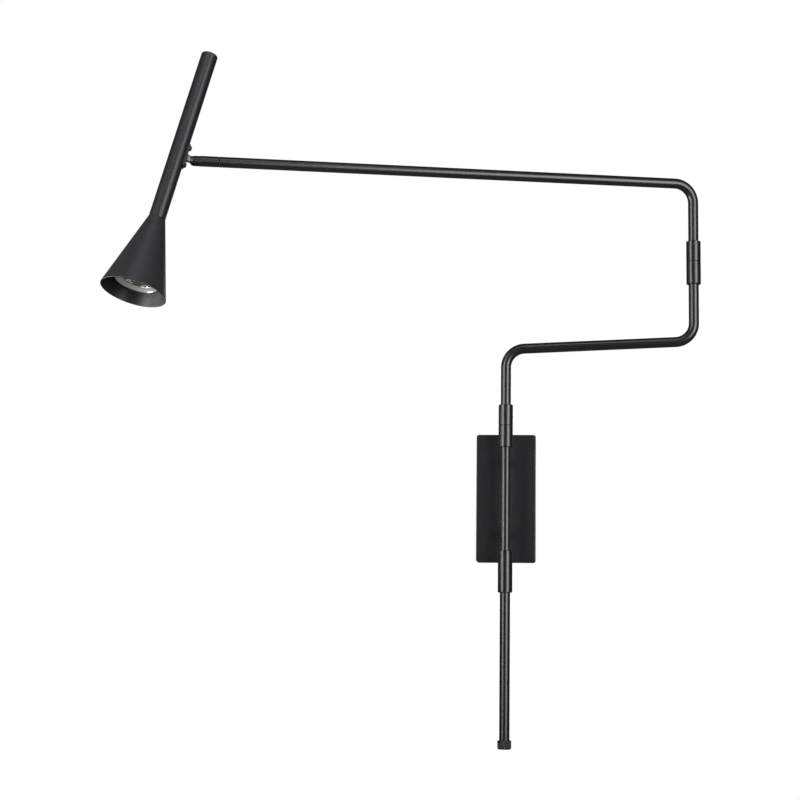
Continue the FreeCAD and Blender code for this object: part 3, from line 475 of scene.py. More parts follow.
def grown(tree, mesh, values, wall=0.0):
    """Mesh made by a tree from a starting mesh, with an optional inward wall thickness."""
    item = temporary(mesh)
    step = item.modifiers.new("tree", "NODES")
    step.node_group = tree
    for entry in tree.interface.items_tree:
        if entry.in_out == "INPUT" and entry.name in values:
            step[entry.identifier] = values[entry.name]
    if wall:
        skin = item.modifiers.new("wall", "SOLIDIFY")
        skin.thickness = wall * MM
        skin.offset = -1.0
        skin.use_rim = True
    return worked(item)


def make_path_tree():
    """Round bar swept along a line of points with rounded bends."""
    t = Tree("bar_along_path", {"Bend radius": 0.02, "Bar radius": 0.006, "Sides": 64, "Bend steps": 24,
                                "Closed ends": False})
    g = t.given
    curve = t.add("GeometryNodeMeshToCurve", {0: g["Geometry"]})
    bend = t.add("GeometryNodeFilletCurve",
                 {"Curve": curve, "Radius": g["Bend radius"], "Count": g["Bend steps"]}, mode="POLY")
    ring = t.circle(g["Sides"], g["Bar radius"])
    return t.close(t.add("GeometryNodeSetShadeSmooth", {0: t.sweep(bend, ring, g["Closed ends"])}))


def make_knurl_tree():
    """Crossed knurl pressed into a round band, fading out at its two ends."""
    t = Tree("crossed_knurl", {"Ridges": 40.0, "Depth": 0.0003, "Lean": 500.0, "Low": 0.0, "High": 1.0,
                               "Fade": 0.0008, "Axis x": 0.0, "Axis y": 0.0})
    g = t.given
    at_x, at_y, z = t.position()
    x = t.sum("SUBTRACT", at_x, g["Axis x"])
    y = t.sum("SUBTRACT", at_y, g["Axis y"])
    around = t.product(t.sum("ARCTAN2", y, x), t.product(g["Ridges"], 0.5))
    lean = t.product(z, g["Lean"])
    one, two = (t.sum("ABSOLUTE", t.sum("SINE", t.sum(way, around, lean))) for way in ("ADD", "SUBTRACT"))
    groove = t.sum("POWER", t.sum("SUBTRACT", 1.0, t.sum("MINIMUM", one, two)), 2.0)
    up = t.sum("DIVIDE", t.sum("SUBTRACT", z, g["Low"]), g["Fade"])
    down = t.sum("DIVIDE", t.sum("SUBTRACT", g["High"], z), g["Fade"])
    mask = t.clamped(t.sum("MINIMUM", up, down))
    amount = t.product(groove, mask, t.product(g["Depth"], -1.0))
    outward = t.add("ShaderNodeVectorMath", {0: t.add("ShaderNodeCombineXYZ", {0: x, 1: y})},
                    operation="NORMALIZE")
    push = t.add("ShaderNodeVectorMath", {0: outward, "Scale": amount}, operation="SCALE")
    return t.pushed(push)


def make_setting_tree():
    """Copies of one small part set on points, each facing its own direction with its own turn."""
    t = Tree("parts_on_points", {"Part": None, "Size": 1.0, "Seed": 4})
    g = t.given
    part = t.add("GeometryNodeObjectInfo", {"Object": g["Part"]}).outputs["Geometry"]
    facing = t.add("GeometryNodeInputNamedAttribute", {"Name": "facing"}, data_type="FLOAT_VECTOR")
    align = t.add("FunctionNodeAlignRotationToVector", {"Vector": facing.outputs["Attribute"]}, axis="Z")
    spin = {"Min": 0.0, "Max": FULL_TURN, "Seed": g["Seed"]}
    spin = t.add("FunctionNodeRandomValue", spin, data_type="FLOAT").outputs[1]
    twist = t.add("ShaderNodeCombineXYZ", {2: spin})
    turn = t.add("FunctionNodeRotateRotation", {0: align, 1: twist}, rotation_space="LOCAL")
    points = t.add("GeometryNodeMeshToPoints", {"Mesh": g["Geometry"]})
    return t.close(t.add("GeometryNodeInstanceOnPoints",
                         {"Points": points, "Instance": part, "Rotation": turn, "Scale": g["Size"]}))


def make_thread_tree():
    """Screw thread: a small ridge swept along a spiral round the local Z axis."""
    t = Tree("screw_thread", {"Radius": 0.005, "Pitch": 0.001, "Length": 0.006, "Ridge": 0.0004, "Steps": 32})
    g = t.given
    spiral = t.add("GeometryNodeCurveSpiral",
                   {"Resolution": g["Steps"], "Rotations": t.sum("DIVIDE", g["Length"], g["Pitch"]),
                    "Start Radius": g["Radius"], "End Radius": g["Radius"], "Height": g["Length"]})
    return t.close(t.sweep(spiral, t.circle(4, g["Ridge"]), True))


def make_ripple_tree():
    """Fine lens prisms: two crossed waves pressed into a face, fading towards its rim."""
    t = Tree("lens_prisms", {"Pitch": 0.002, "Depth": 0.0002, "Reach": 0.02, "Fade": 0.0012})
    g = t.given
    x, y, z = t.position()
    rate = t.sum("DIVIDE", math.pi, g["Pitch"])
    across, along = (t.sum("ABSOLUTE", t.sum("SINE", t.product(side, rate))) for side in (x, y))
    far = t.sum("SQRT", t.sum("ADD", t.product(x, x), t.product(y, y)))
    edge = t.sum("DIVIDE", t.sum("SUBTRACT", g["Reach"], far), g["Fade"])
    front = t.sum("LESS_THAN", z, 0.0)
    lift = t.product(across, along, t.clamped(edge), t.product(front, g["Depth"]), -1.0)
    offset = t.add("ShaderNodeCombineXYZ", {2: lift})
    return t.pushed(offset)


PATH_TREE = make_path_tree()
KNURL_TREE = make_knurl_tree()
SETTING_TREE = make_setting_tree()
THREAD_TREE = make_thread_tree()
RIPPLE_TREE = make_ripple_tree()


# -------- materials
class Finish(Nodes):
    """Procedural material on object coordinates, in millimetres."""

    def __init__(self, name):
        self.material = bpy.data.materials.new(name)
        self.material.use_nodes = True
        super().__init__(self.material.node_tree)
        where = self.add("ShaderNodeTexCoord").outputs["Object"]
        self.place = self.add("ShaderNodeMapping", {"Vector": where, "Scale": (1000, 1000, 1000)})

    def noise(self, size_mm, detail=3.0, stretch=None):
        """Noise whose marks are about size_mm across."""
        place = self.place
        if stretch is not None:
            place = self.add("ShaderNodeMapping", {"Vector": place, "Scale": stretch})
        marks = self.add("ShaderNodeTexNoise", {"Vector": place, "Scale": 1.0 / size_mm, "Detail": detail})
        return marks.outputs["Fac"]

    def ramp(self, source, low, high, first=0.0, last=1.0):
        """Source between two levels, spread to two new values."""
        levels = {"Value": source, "From Min": low, "From Max": high, "To Min": first, "To Max": last}
        return self.add("ShaderNodeMapRange", levels).outputs["Result"]

    def mix(self, fac, first, second):
        """Mixed colour; each side is a colour or a socket."""
        sides = [(*side, 1.0) if isinstance(side, tuple) else side for side in (first, second)]
        feeds = {"Factor": fac, 6: sides[0], 7: sides[1]}
        return self.add("ShaderNodeMix", feeds, data_type="RGBA").outputs[2]

    def worn(self, base, tone):
        """Base colour with a rubbed tone along convex edges, broken up by noise."""
        mark = self.add("ShaderNodeAttribute", attribute_name="edge_wear").outputs["Fac"]
        patchy = self.ramp(self.noise(1.7, 4.0), 0.38, 0.66)
        return self.mix(self.product(mark, patchy), base, tone)

    def clouded(self, size_mm, detail, high, dark, light):
        """Two colours mixed in soft clouds."""
        return self.mix(self.ramp(self.noise(size_mm, detail), 0.35, high), dark, light)

    def patchy(self, size_mm, detail, low, high):
        """Roughness that varies in soft patches."""
        return self.ramp(self.noise(size_mm, detail), 0.3, 0.7, low, high)

    def bump(self, *layers):
        """Stacked bumps of (height socket, depth in millimetres)."""
        under = {}
        for height, depth in layers:
            feeds = {"Height": height, "Strength": 1.0, "Distance": depth * MM}
            under = {"Normal": self.add("ShaderNodeBump", {**feeds, **under})}
        return under["Normal"]

    def painted(self, **feeds):
        """The material, with its shader's own sockets fed."""
        shader = self.tree.nodes["Principled BSDF"]
        self.fill(shader, {label.replace("_", " "): source for label, source in feeds.items()})
        return self.material


def coated(name, dark, light, worn_tone, rough, grain_mm, grain_depth, peel_depth, specular):
    """Powder coat: fine grain, slow orange peel, cloudy tone and rubbed edges."""
    f = Finish(name)
    base = f.clouded(9.0, 2.0, 0.65, dark, light)
    speck = f.ramp(f.noise(grain_mm, 2.0), 0.35, 0.65)
    lifted = tuple(1.5 * c + 0.002 for c in light)
    base = f.mix(f.ramp(speck, 0.62, 1.0, 0.0, 0.6), base, lifted)
    return f.painted(Base_Color=f.worn(base, worn_tone), Metallic=0.0, Specular_IOR_Level=specular,
                     Roughness=f.patchy(3.1, 3.0, *rough),
                     Normal=f.bump((f.noise(2.4, 1.0), peel_depth), (f.noise(grain_mm, 1.5), grain_depth)))


def metal(name, dark, light, rough, grain_mm, depth, stretch=None, metallic=1.0):
    """Bare or plated metal with fine marks, dulled patches and bright rubbed edges."""
    f = Finish(name)
    bright = tuple(min(1.0, 1.2 * c + 0.05) for c in light)
    return f.painted(Base_Color=f.worn(f.clouded(4.0, 3.0, 0.7, light, dark), bright), Metallic=metallic,
                     Roughness=f.patchy(1.3, 4.0, *rough),
                     Normal=f.bump((f.noise(grain_mm, 3.0, stretch), depth)))


def moulded(name, dark, light, rough, grain_mm, depth, subsurface=0.0):
    """Moulded plastic, rubber or ceramic with a fine skin."""
    f = Finish(name)
    pale = tuple(min(1.0, 1.25 * c + 0.01) for c in light)
    return f.painted(Base_Color=f.worn(f.clouded(5.0, 3.0, 0.65, dark, light), pale), Metallic=0.0,
                     Subsurface_Weight=subsurface, Roughness=f.patchy(2.0, 3.0, *rough),
                     Normal=f.bump((f.noise(grain_mm, 2.0), depth)))


def pressed_glass(name, dark, light, rough, grain_mm, depth):
    """Clear pressed glass with faint ripples."""
    f = Finish(name)
    return f.painted(Base_Color=f.mix(f.ramp(f.noise(3.0), 0.3, 0.7), dark, light), Metallic=0.0,
                     Transmission_Weight=1.0, IOR=1.46, Roughness=f.patchy(1.5, 3.0, *rough),
                     Normal=f.bump((f.noise(grain_mm, 1.0), depth)))


def grey(level):
    """Neutral colour."""
    return (level, level, level)


FINISH_VALUES = {
    "satin_black": (coated, (0.0042, 0.0042, 0.0050), (0.0054, 0.0054, 0.0062), grey(0.012),
                    (0.29, 0.30), 0.35, 0.0001, 0.0002, 0.45),
    "matte_black": (coated, (0.0072, 0.0072, 0.0088), (0.0090, 0.0090, 0.0106), (0.032, 0.031, 0.030),
                    (0.34, 0.39), 0.40, 0.0010, 0.0015, 0.42),
    "fine_texture_black": (coated, (0.0122, 0.0122, 0.0145), (0.0152, 0.0152, 0.0174), (0.045, 0.044, 0.043),
                           (0.40, 0.46), 0.30, 0.0014, 0.002, 0.36),
    "knurled_black": (coated, (0.0050, 0.0050, 0.0056), (0.0064, 0.0064, 0.0070), (0.014, 0.013, 0.012),
                      (0.40, 0.48), 0.35, 0.0008, 0.002, 0.40),
    "black_screws": (metal, (0.024, 0.024, 0.026), (0.042, 0.042, 0.045), (0.26, 0.36), 0.25, 0.0010),
    "nickel": (metal, (0.085, 0.080, 0.076), (0.14, 0.132, 0.125), (0.28, 0.38), 0.30, 0.0008, (1, 0.2, 1)),
    "zinc_steel": (metal, (0.42, 0.43, 0.44), (0.62, 0.63, 0.64), (0.34, 0.50), 0.60, 0.010),
    "spring_steel": (metal, (0.28, 0.28, 0.30), (0.45, 0.45, 0.46), (0.25, 0.35), 0.30, 0.003),
    "brass": (metal, (0.55, 0.38, 0.16), (0.75, 0.56, 0.27), (0.26, 0.42), 0.30, 0.005),
    "white_nylon": (moulded, (0.60, 0.59, 0.56), (0.70, 0.69, 0.66), (0.38, 0.52), 0.5, 0.008, 0.15),
    "black_plastic": (moulded, (0.012, 0.012, 0.013), (0.022, 0.022, 0.023), (0.36, 0.52), 0.5, 0.010),
    "black_rubber": (moulded, grey(0.010), grey(0.018), (0.62, 0.78), 0.4, 0.014),
    "cable_sheath": (moulded, (0.50, 0.49, 0.47), (0.62, 0.61, 0.58), (0.42, 0.56), 0.6, 0.010),
    "white_ceramic": (moulded, (0.66, 0.65, 0.62), (0.78, 0.77, 0.74), (0.18, 0.30), 0.7, 0.006, 0.1),
    "lamp_shell": (metal, (0.48, 0.48, 0.49), grey(0.68), (0.17, 0.24), 1.2, 0.003),
    "lamp_rim": (metal, (0.50, 0.485, 0.455), (0.60, 0.585, 0.55), (0.16, 0.22), 0.8, 0.0006, None, 0.70),
    "lens_glass": (pressed_glass, (0.80, 0.82, 0.82), (0.88, 0.90, 0.89), (0.08, 0.14), 0.9, 0.01),
}
FINISHES = {name: make(name, *values) for name, (make, *values) in FINISH_VALUES.items()}


# -------- finishing a piece
def mark_wear(mesh):
    """Store how strongly each point stands on a convex edge."""
    longest_edge = 0.0012
    least_fall = 0.12
    fall_range = 0.25
    count = len(mesh.vertices)
    co = np.empty(count * 3)
    mesh.vertices.foreach_get("co", co)
    co = co.reshape(-1, 3)
    normal = np.empty(count * 3, np.float32)
    mesh.vertex_normals.foreach_get("vector", normal)
    normal = normal.reshape(-1, 3)
    ends = np.empty(len(mesh.edges) * 2, np.int64)
    mesh.edges.foreach_get("vertices", ends)
    ends = ends.reshape(-1, 2)
    along = co[ends[:, 1]] - co[ends[:, 0]]
    length = np.linalg.norm(along, axis=1) + 1e-9
    near = length < longest_edge
    peak = np.zeros(count)
    for side, sign in ((0, -1), (1, 1)):
        fall = sign * (normal[ends[:, side]] * along).sum(1) / length
        np.maximum.at(peak, ends[near, side], fall[near])
    wear = np.clip((peak - least_fall) / fall_range, 0, 1)
    layer = mesh.attributes.new("edge_wear", "FLOAT", "POINT")
    layer.data.foreach_set("value", wear.astype(np.float32))


def placed(name, mesh, body, finish, node, sharp=34):
    """Finished piece: smooth shading, edge wear, material and body; the CAD node it stands for is hidden."""
    mesh.materials.clear()
    mesh.materials.append(FINISHES[finish])
    for polygon in mesh.polygons:
        polygon.use_smooth = True
        polygon.material_index = 0
    mesh.set_sharp_from_angle(angle=math.radians(sharp))
    mark_wear(mesh)
    mesh.name = name
    piece = bpy.data.objects.new(name, mesh)
    bpy.context.scene.collection.objects.link(piece)
    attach(piece, body)
    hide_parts(node)


def refined(name, node, body, finish, width, steps=2, angle=38):
    """Piece with a CAD node's own shape and rounded edges."""
    placed(name, from_frame(node, width, steps, angle), body, finish, node)


def swept(points, bend, radius, sides, closed=False, wall=0.0):
    """Bar or tube along a path of points."""
    line = bpy.data.meshes.new("path")
    edges = [(i, i + 1) for i in range(len(points) - 1)]
    line.from_pydata([tuple(c * MM for c in p) for p in points], edges, [])
    values = {"Bend radius": bend * MM, "Bar radius": radius * MM, "Sides": sides, "Bend steps": 24,
              "Closed ends": closed}
    return grown(PATH_TREE, line, values, wall)


def cable(name, node, body, path, bend=BEND_RADIUS, radius=CABLE_RADIUS):
    """Round cable along a path."""
    placed(name, swept(path, bend, radius, 24, True), body, "cable_sheath", node)


def set_parts(part, places, seed):
    """Copies of a small part on (point, direction) pairs in metres."""
    source = temporary(part)
    mesh = bpy.data.meshes.new("places")
    mesh.from_pydata([tuple(p) for p, _ in places], [], [])
    layer = mesh.attributes.new("facing", "FLOAT_VECTOR", "POINT")
    layer.data.foreach_set("vector", [c for _, d in places for c in d])
    result = grown(SETTING_TREE, mesh, {"Part": source, "Size": 1.0, "Seed": seed})
    bpy.data.objects.remove(source)
    return result


def domed_screw(radius, height, socket, shank, length):
    """Domed socket screw along +Z with its head's seat at z = 0."""
    sphere = (radius ** 2 + height ** 2) / (2 * height)
    outline = [(0, -length), (shank - 0.3, -length), (shank, -length + 0.3), (shank, 0), (radius - 0.15, 0)]
    top = math.asin(min(1.0, (radius - 0.02) / sphere))
    for k in range(11):
        a = top * (1 - k / 10)
        outline.append((sphere * math.sin(a), height - sphere + sphere * math.cos(a)))
    mesh = turned(OWN_FRAME, outline, SMALL_ROUND)
    flat = plain_rod(OWN_FRAME, radius, height * 0.86, height + 1)
    mesh = combined(mesh, [flat, six_sided(socket, height * 0.35, height + 2)])
    return eased(mesh, 0.07, 1, 40)


def grub_screw(radius, length):
    """Socket grub screw along +Z with its outer end at z = 0."""
    outline = softened([(0, -length, 0), (radius, -length, 0.2), (radius, 0, 0.25), (0, 0, 0)], 3)
    return combined(turned(OWN_FRAME, outline, 40), [six_sided(radius, -1.1, 1)])


def grub_hole(node, place, low, high, radius=GRUB_RADIUS):
    """Cutter for a radial screw's hole."""
    return plain_rod(screw_axis(node, place), radius + HOLE_ROOM, low, high)


def build_grub(name, node, place, body, radius=GRUB_RADIUS, finish="black_screws"):
    """Radial grub screw set in its hole."""
    axis = screw_axis(node, place)
    low, high = heights(node, axis)
    mesh = grub_screw(radius, high - low)
    mesh.transform(axis @ moved(0, 0, high))
    placed(name, mesh, body, finish, node)


# -------- wall cover, posts, stem and knob
def build_canopy():
    """Open-backed rectangular cover with softened edges and bores for the posts and side screws."""
    depth = -COVER_Y
    t = PLATE_WALL
    chain = [(t + 0.8, depth - t), (t + 0.3, depth - t), (t + 0.06, depth - t - 0.06), (t, depth - t - 0.3),
             (t, 0.3), (t, 0.15), (t - 0.1, 0.0), (0.12, 0.0), (0.0, 0.12), (0.0, 0.3),
             (0.0, depth - PLATE_EDGE - 0.3)]
    for k in range(9):
        a = math.radians(90 * k / 8)
        chain.append((PLATE_EDGE * (1 - math.cos(a)), depth - PLATE_EDGE * (1 - math.sin(a))))
    chain += [(PLATE_EDGE + 0.3, depth)]
    mesh = stacked_block(rotated(90, "X"), PLATE_HALF_WIDTH, PLATE_HALF_HEIGHT, PLATE_CORNER, chain)
    cutters = [plain_rod(moved(0, 0, z) @ rotated(90, "X"), POST_RADIUS + 0.05, depth - 3, depth + 2)
               for z in POST_HEIGHTS]
    sideways = moved(0, SIDE_SCREW_Y, 0) @ rotated(90, "Y")
    reach = PLATE_HALF_WIDTH + 1
    cutters.append(plain_rod(sideways, SIDE_SCREW_RADIUS + 0.05, -reach, reach))
    placed("cover", combined(mesh, cutters), "wall_unit", "matte_black", "wall_canopy")


def build_side_screws():
    """Flush grub screws on both sides of the cover."""
    places = [((side * screw_high.x, SIDE_SCREW_Y * MM, 0), (side, 0, 0)) for side in (1, -1)]
    mesh = set_parts(grub_screw(SIDE_SCREW_RADIUS, 6.0), places, 3)
    placed("cover_screws", mesh, "wall_unit", "black_screws", "canopy_screws")


def build_posts():
    """Two hollow posts with a seat on the cover, a saddle end on the stem tube and a threaded tail."""
    tail = post_high.y / MM
    seat = -COVER_Y
    top = seat + POST_SEAT_HEIGHT
    corners = [(POST_BORE, -tail, 0), (POST_THREAD_RADIUS, -tail, 0.2), (POST_THREAD_RADIUS, seat - 1.7, 0),
               (POST_RADIUS, seat - 1.4, 0), (POST_RADIUS, seat, 0), (POST_SEAT_RADIUS, seat, 0.1),
               (POST_SEAT_RADIUS, top, 0.35), (POST_RADIUS, top, 0.1), (POST_RADIUS, -STEM_Y, 0),
               (POST_BORE, -STEM_Y, 0)]
    values = {"Radius": 0.00466, "Pitch": 0.00075, "Length": 0.0056, "Ridge": 0.00032, "Steps": 40}
    meshes = []
    for z in POST_HEIGHTS:
        post = hollow(moved(0, 0, z) @ rotated(90, "X"), corners, 3, 72)
        saddle = plain_rod(STEM, TUBE_RADIUS + 0.02, z - 10, z + 10, ROUND)
        thread = grown(THREAD_TREE, bpy.data.meshes.new("none"), values)
        thread.transform(moved(0, tail - 0.4, z) @ rotated(90, "X"))
        meshes += [combined(post, [saddle]), thread]
    placed("stem_posts_turned", joined(meshes), "wall_unit", "satin_black", "stem_posts")


def build_collar(name, node, place, body, ends, hole=None):
    """Sleeve round the tube, with a chamfer at each end; one with a stop screw's hole turns on the pivot."""
    low, high = heights(node, place)
    edge_low, edge_high = ends
    r = COLLAR_RADIUS
    bore = COLLAR_BORE
    mouth = bore if hole is None else PIVOT_ROOM_RADIUS
    corners = [(mouth, low, 0.1), (r - edge_low, low, 0.12), (r, low + edge_low, 0.12),
               (r, high - edge_high, 0.12), (r - edge_high, high, 0.12), (bore, high, 0.1)]
    if hole is not None:
        corners += [(bore, low + 12.2, 0), (5.3, low + 12.2, 0), (5.3, low + 7.8, 0), (mouth, low + 7.8, 0)]
    mesh = hollow(place, corners)
    if hole is not None:
        mesh = combined(mesh, [hole])
    placed(name, mesh, body, "satin_black", node)


def build_joint(prefix, place, body_low, body_high):
    """Two collars of a swing joint and the stop screw in the upper one."""
    stop = prefix + "_stop_screw"
    build_collar(prefix + "_sleeve_low", prefix + "_collar_lower", place, body_low,
                 (COLLAR_CHAMFER, SEAM_CHAMFER))
    build_collar(prefix + "_sleeve_high", prefix + "_collar_upper", place, body_high,
                 (SEAM_CHAMFER, COLLAR_CHAMFER), grub_hole(stop, place, 4, 10))
    build_grub(prefix + "_stop", stop, place, body_high)


def build_stem():
    """Stem tube, its grub screw, the one-piece collar and the long drop tube."""
    low, high = heights("stem_tube", STEM)
    bore = TUBE_RADIUS - TUBE_WALL
    outer = TUBE_RADIUS - 0.015
    stem = hollow(STEM, [(bore, low, 0), (outer, low, 0.1), (outer, high, 0.1), (bore, high, 0)], 2)
    cutters = [grub_hole("stem_grub_screw", STEM, 3, 8)]
    for z in POST_HEIGHTS:
        cutters.append(plain_rod(moved(0, 0, z) @ rotated(-90, "X"), POST_BORE, STEM_Y, STEM_Y + 10))
    placed("stem", combined(stem, cutters), "wall_unit", "satin_black", "stem_tube")
    build_grub("stem_grub", "stem_grub_screw", STEM, "wall_unit", finish="nickel")
    build_collar("stem_sleeve", "lower_collar", STEM, "wall_unit", (COLLAR_CHAMFER, COLLAR_CHAMFER))
    low, high = heights("drop_tube", STEM)
    outer = TUBE_RADIUS
    drop = hollow(STEM, [(bore, low, 0.1), (outer, low, 0.15), (outer, high, 0.1), (bore, high, 0)])
    placed("drop_bar", drop, "wall_unit", "satin_black", "drop_tube")


def build_knob():
    """Knurled knob with a rounded foot and a plain band at each end of the knurl."""
    low, high = heights("switch_knob", STEM)
    r = KNOB_RADIUS
    corners = [(0, low, 0), (r - 1.6, low, 0.8), (r - 0.5, low + 0.7, 0.8), (r, low + 2.0, 0.8),
               (r, high, 0.5), (2.1, high, 0.1), (2.1, high - 6.4, 0.1), (0, high - 6.4, 0)]
    base = turned(STEM, spaced(softened(corners, 5), 0.25), 320)
    centre = STEM.translation
    values = {"Ridges": float(KNURLS), "Depth": 0.00032, "Lean": 480.0, "Low": (low + 1.7) * MM,
              "High": (high - 0.7) * MM, "Fade": 0.0005, "Axis x": centre.x, "Axis y": centre.y}
    placed("dimmer_knob", grown(KNURL_TREE, base, values), "knob", "knurled_black", "switch_knob", 60)


# -------- arms
def build_lower_arm():
    """Lower arm: up from the shoulder, out to the right and up to the elbow."""
    low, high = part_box("lower_arm_tube")
    reach = ELBOW.translation.x / MM
    far_height = ARM1_HEIGHT + reach * math.tan(math.radians(ARM1_RISE_DEGREES))
    path = [(0, STEM_Y, low.z / MM), (0, STEM_Y, ARM1_HEIGHT), (reach, STEM_Y, far_height),
            (reach, STEM_Y, high.z / MM)]
    mesh = swept(path, BEND_RADIUS, TUBE_RADIUS, ROUND, False, TUBE_WALL)
    placed("lower_bar", mesh, "lower_arm", "satin_black", "lower_arm_tube", 50)
    low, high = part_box("lower_arm_cable")
    path[0] = (0, STEM_Y, low.z / MM)
    path[3] = (reach, STEM_Y, high.z / MM)
    cable("lower_flex", "lower_arm_cable", "lower_arm", path)


def build_upper_arm():
    """Upper arm: up from the elbow and out to the head."""
    elbow = ELBOW.translation / MM
    path = [(elbow.x, elbow.y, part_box("upper_arm_tube")[0].z / MM), run_point(0), run_point(TUBE_END)]
    mesh = swept(path, BEND_RADIUS, TUBE_RADIUS, ROUND, False, TUBE_WALL)
    placed("upper_bar", mesh, "upper_arm", "satin_black", "upper_arm_tube", 50)
    path[0] = (elbow.x, elbow.y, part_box("upper_arm_cable")[0].z / MM)
    path[2] = run_point(RING[1] + 14.0)
    cable("upper_flex", "upper_arm_cable", "upper_arm", path)


def along_run(*corners):
    """Hollow piece on the upper arm's run, from (radius, distance from the elbow, rounding) corners."""
    return hollow(ALONG_RUN, [(r, s - RUN_LENGTH, f) for r, s, f in corners])


def run_band(start, end):
    """Outer corners of a band on the run, flush with the tube and chamfered at both ends."""
    r = TUBE_RADIUS
    edge = r - 0.35
    return [(edge, start, 0.1), (r, start + 0.35, 0.12), (r, end - 0.35, 0.12), (edge, end, 0.1)]


def build_arm_end():
    """End ring, swivel ferrule, its stop screw, the fork and its two stub screws."""
    start, end = RING
    groove = end + 12.0
    tail = end + 14.4
    mesh = along_run((2.2, start - 13, 0.1), (4.98, start - 13, 0.2), (4.98, start, 0), *run_band(start, end),
                     (3.6, end, 0), (3.6, groove, 0), (3.1, groove, 0), (3.1, groove + 1, 0),
                     (3.6, groove + 1, 0), (3.6, tail, 0.2), (2.2, tail, 0.1))
    placed("end_ring", mesh, "upper_arm", "satin_black", "arm_end_bush")
    start, end = FERRULE
    step = RING[1] + 11.2
    mesh = along_run((3.65, start, 0), *run_band(start, end), (5.0, end, 0), (5.0, step, 0), (3.65, step, 0))
    hole = grub_hole("swivel_stop_screw", ALONG_RUN, 3, 8, FERRULE_STOP_RADIUS)
    placed("ferrule", combined(mesh, [hole]), "arm_end", "satin_black", "swivel_ferrule")
    build_grub("ferrule_stop", "swivel_stop_screw", ALONG_RUN, "arm_end", FERRULE_STOP_RADIUS)
    build_fork(end)
    refined("fork_screws", "tilt_pivot_screws", "arm_end", "black_screws", 0.08, 1)


def build_fork(start):
    """Hollow fork with a rounded end, slotted for the knuckle and cross-drilled for its screws."""
    corners = [(2.2, start - 6.2, 0), (4.97, start - 6.2, 0.1), (4.97, start + 0.1, 0),
               (FORK_RADIUS - 0.1, start + 0.1, 0.1), (FORK_RADIUS, start + 0.3, 0.1),
               (FORK_RADIUS, RUN_LENGTH + 1.3, 1.0), (FORK_RADIUS - 0.4, RUN_LENGTH + 3.4, 1.0),
               (4.4, FORK_END, 0.4), (2.2, FORK_END, 0)]
    fork = hollow(ALONG_RUN, [(r, s - RUN_LENGTH, f) for r, s, f in corners], 4)
    behind = start - RUN_LENGTH
    slot = plain_block(SWIVEL, (behind + 0.9, -FORK_HALF_SLOT, -8), (FORK_NOSE + 1, FORK_HALF_SLOT, 8))
    cross = SWIVEL @ rotated(90, "X")
    fork = combined(fork, [slot, plain_rod(cross, 1.52, -8, 8)])
    keep = combined(plain_rod(cross, FORK_NOSE, -8, 8, ROUND),
                    [plain_block(SWIVEL, (behind - 8, -8.5, -8.5), (0, 8.5, 8.5))], "UNION")
    fork = combined(fork, [keep], "INTERSECT")
    placed("fork", eased(fork, 0.18, 2, 42), "arm_end", "satin_black", "arm_end_fork")


# -------- head
def build_head_joint():
    """Nickel knuckle, saddle plate and its two domed screws."""
    refined("knuckle_plated", "knuckle", "head", "nickel", 0.35, 3)
    refined("saddle", "head_saddle", "head", "matte_black", 0.22, 2, 30)
    seat = span("head_saddle", HEAD)[0][0]
    out = HEAD.to_3x3() @ Vector((-1, 0, 0))
    places = [(local_point(HEAD, seat, 0, z), out) for z in SADDLE_SCREW_HEIGHTS]
    mesh = set_parts(domed_screw(3.3, 2.5, 2.5, 1.9, 4.1), places, 9)
    placed("saddle_screws_domed", mesh, "head", "black_screws", "saddle_screws")


def build_head_tube():
    """Head tube with its rounded cap and the shade's grub screw."""
    low, high = heights("head_tube", HEAD_AXIS)
    r = HEAD_RADIUS
    bore = r - HEAD_WALL
    tube = hollow(HEAD_AXIS, [(bore, low, 0.05), (r, low, 0.15), (r, high, 0.05), (bore, high, 0.05)])
    cutters = [grub_hole("shade_grub_screw", HEAD_AXIS, 6, 12)]
    wall = HEAD_OFFSET - r
    for z, radius in ((SADDLE_SCREW_HEIGHTS[0], 2.0), (SADDLE_SCREW_HEIGHTS[1], 2.0), (0.0, 2.4)):
        cutters.append(plain_rod(HEAD @ rotated(90, "Y") @ moved(-z, 0, 0), radius, wall - 2, wall + 4))
    placed("head_bar", combined(tube, cutters), "head", "matte_black", "head_tube")
    low, high = heights("head_cap", HEAD_AXIS)
    seat = high - 3.0
    plug = bore - 0.03
    corners = [(0, high, 0), (r, high, 1.6), (r, seat + 0.08, 0.1), (plug, seat + 0.08, 0), (plug, low, 0.3),
               (bore - 1.2, low, 0.2), (bore - 1.2, seat, 0.3), (0, seat, 0)]
    placed("cap", turned(HEAD_AXIS, softened(corners, 8)), "head", "matte_black", "head_cap")
    build_grub("shade_grub", "shade_grub_screw", HEAD_AXIS, "head")


def build_shade():
    """Spun cone with its neck, throat and a thin rounded lip."""
    low, high = heights("shade", HEAD_AXIS)
    r = HEAD_RADIUS
    top = SHADE_TOP
    mouth = SHADE_MOUTH_RADIUS
    slope = (mouth - r) / (top - low)
    wall = SHADE_WALL * math.sqrt(1 + slope ** 2)
    neck = r - HEAD_WALL - 0.05
    throat = neck - SHADE_WALL
    corners = [(throat, high, 0.2), (neck, high, 0.2), (neck, top, 0), (r + 0.4, top, 0.12),
               (mouth, low, 0.45), (mouth - wall, low, 0.45), (r + 3.2 * slope - wall, top - 3.2, 0.8),
               (throat, top - SHADE_WALL, 0.6)]
    outline = softened(corners, 4, True)
    outline = spaced(outline + outline[:1], 3.0)[:-1]
    mesh = combined(turned(HEAD_AXIS, outline, 160, True), [grub_hole("shade_grub_screw", HEAD_AXIS, 5, 8.7)])
    placed("shade_spun", mesh, "head", "fine_texture_black", "shade")


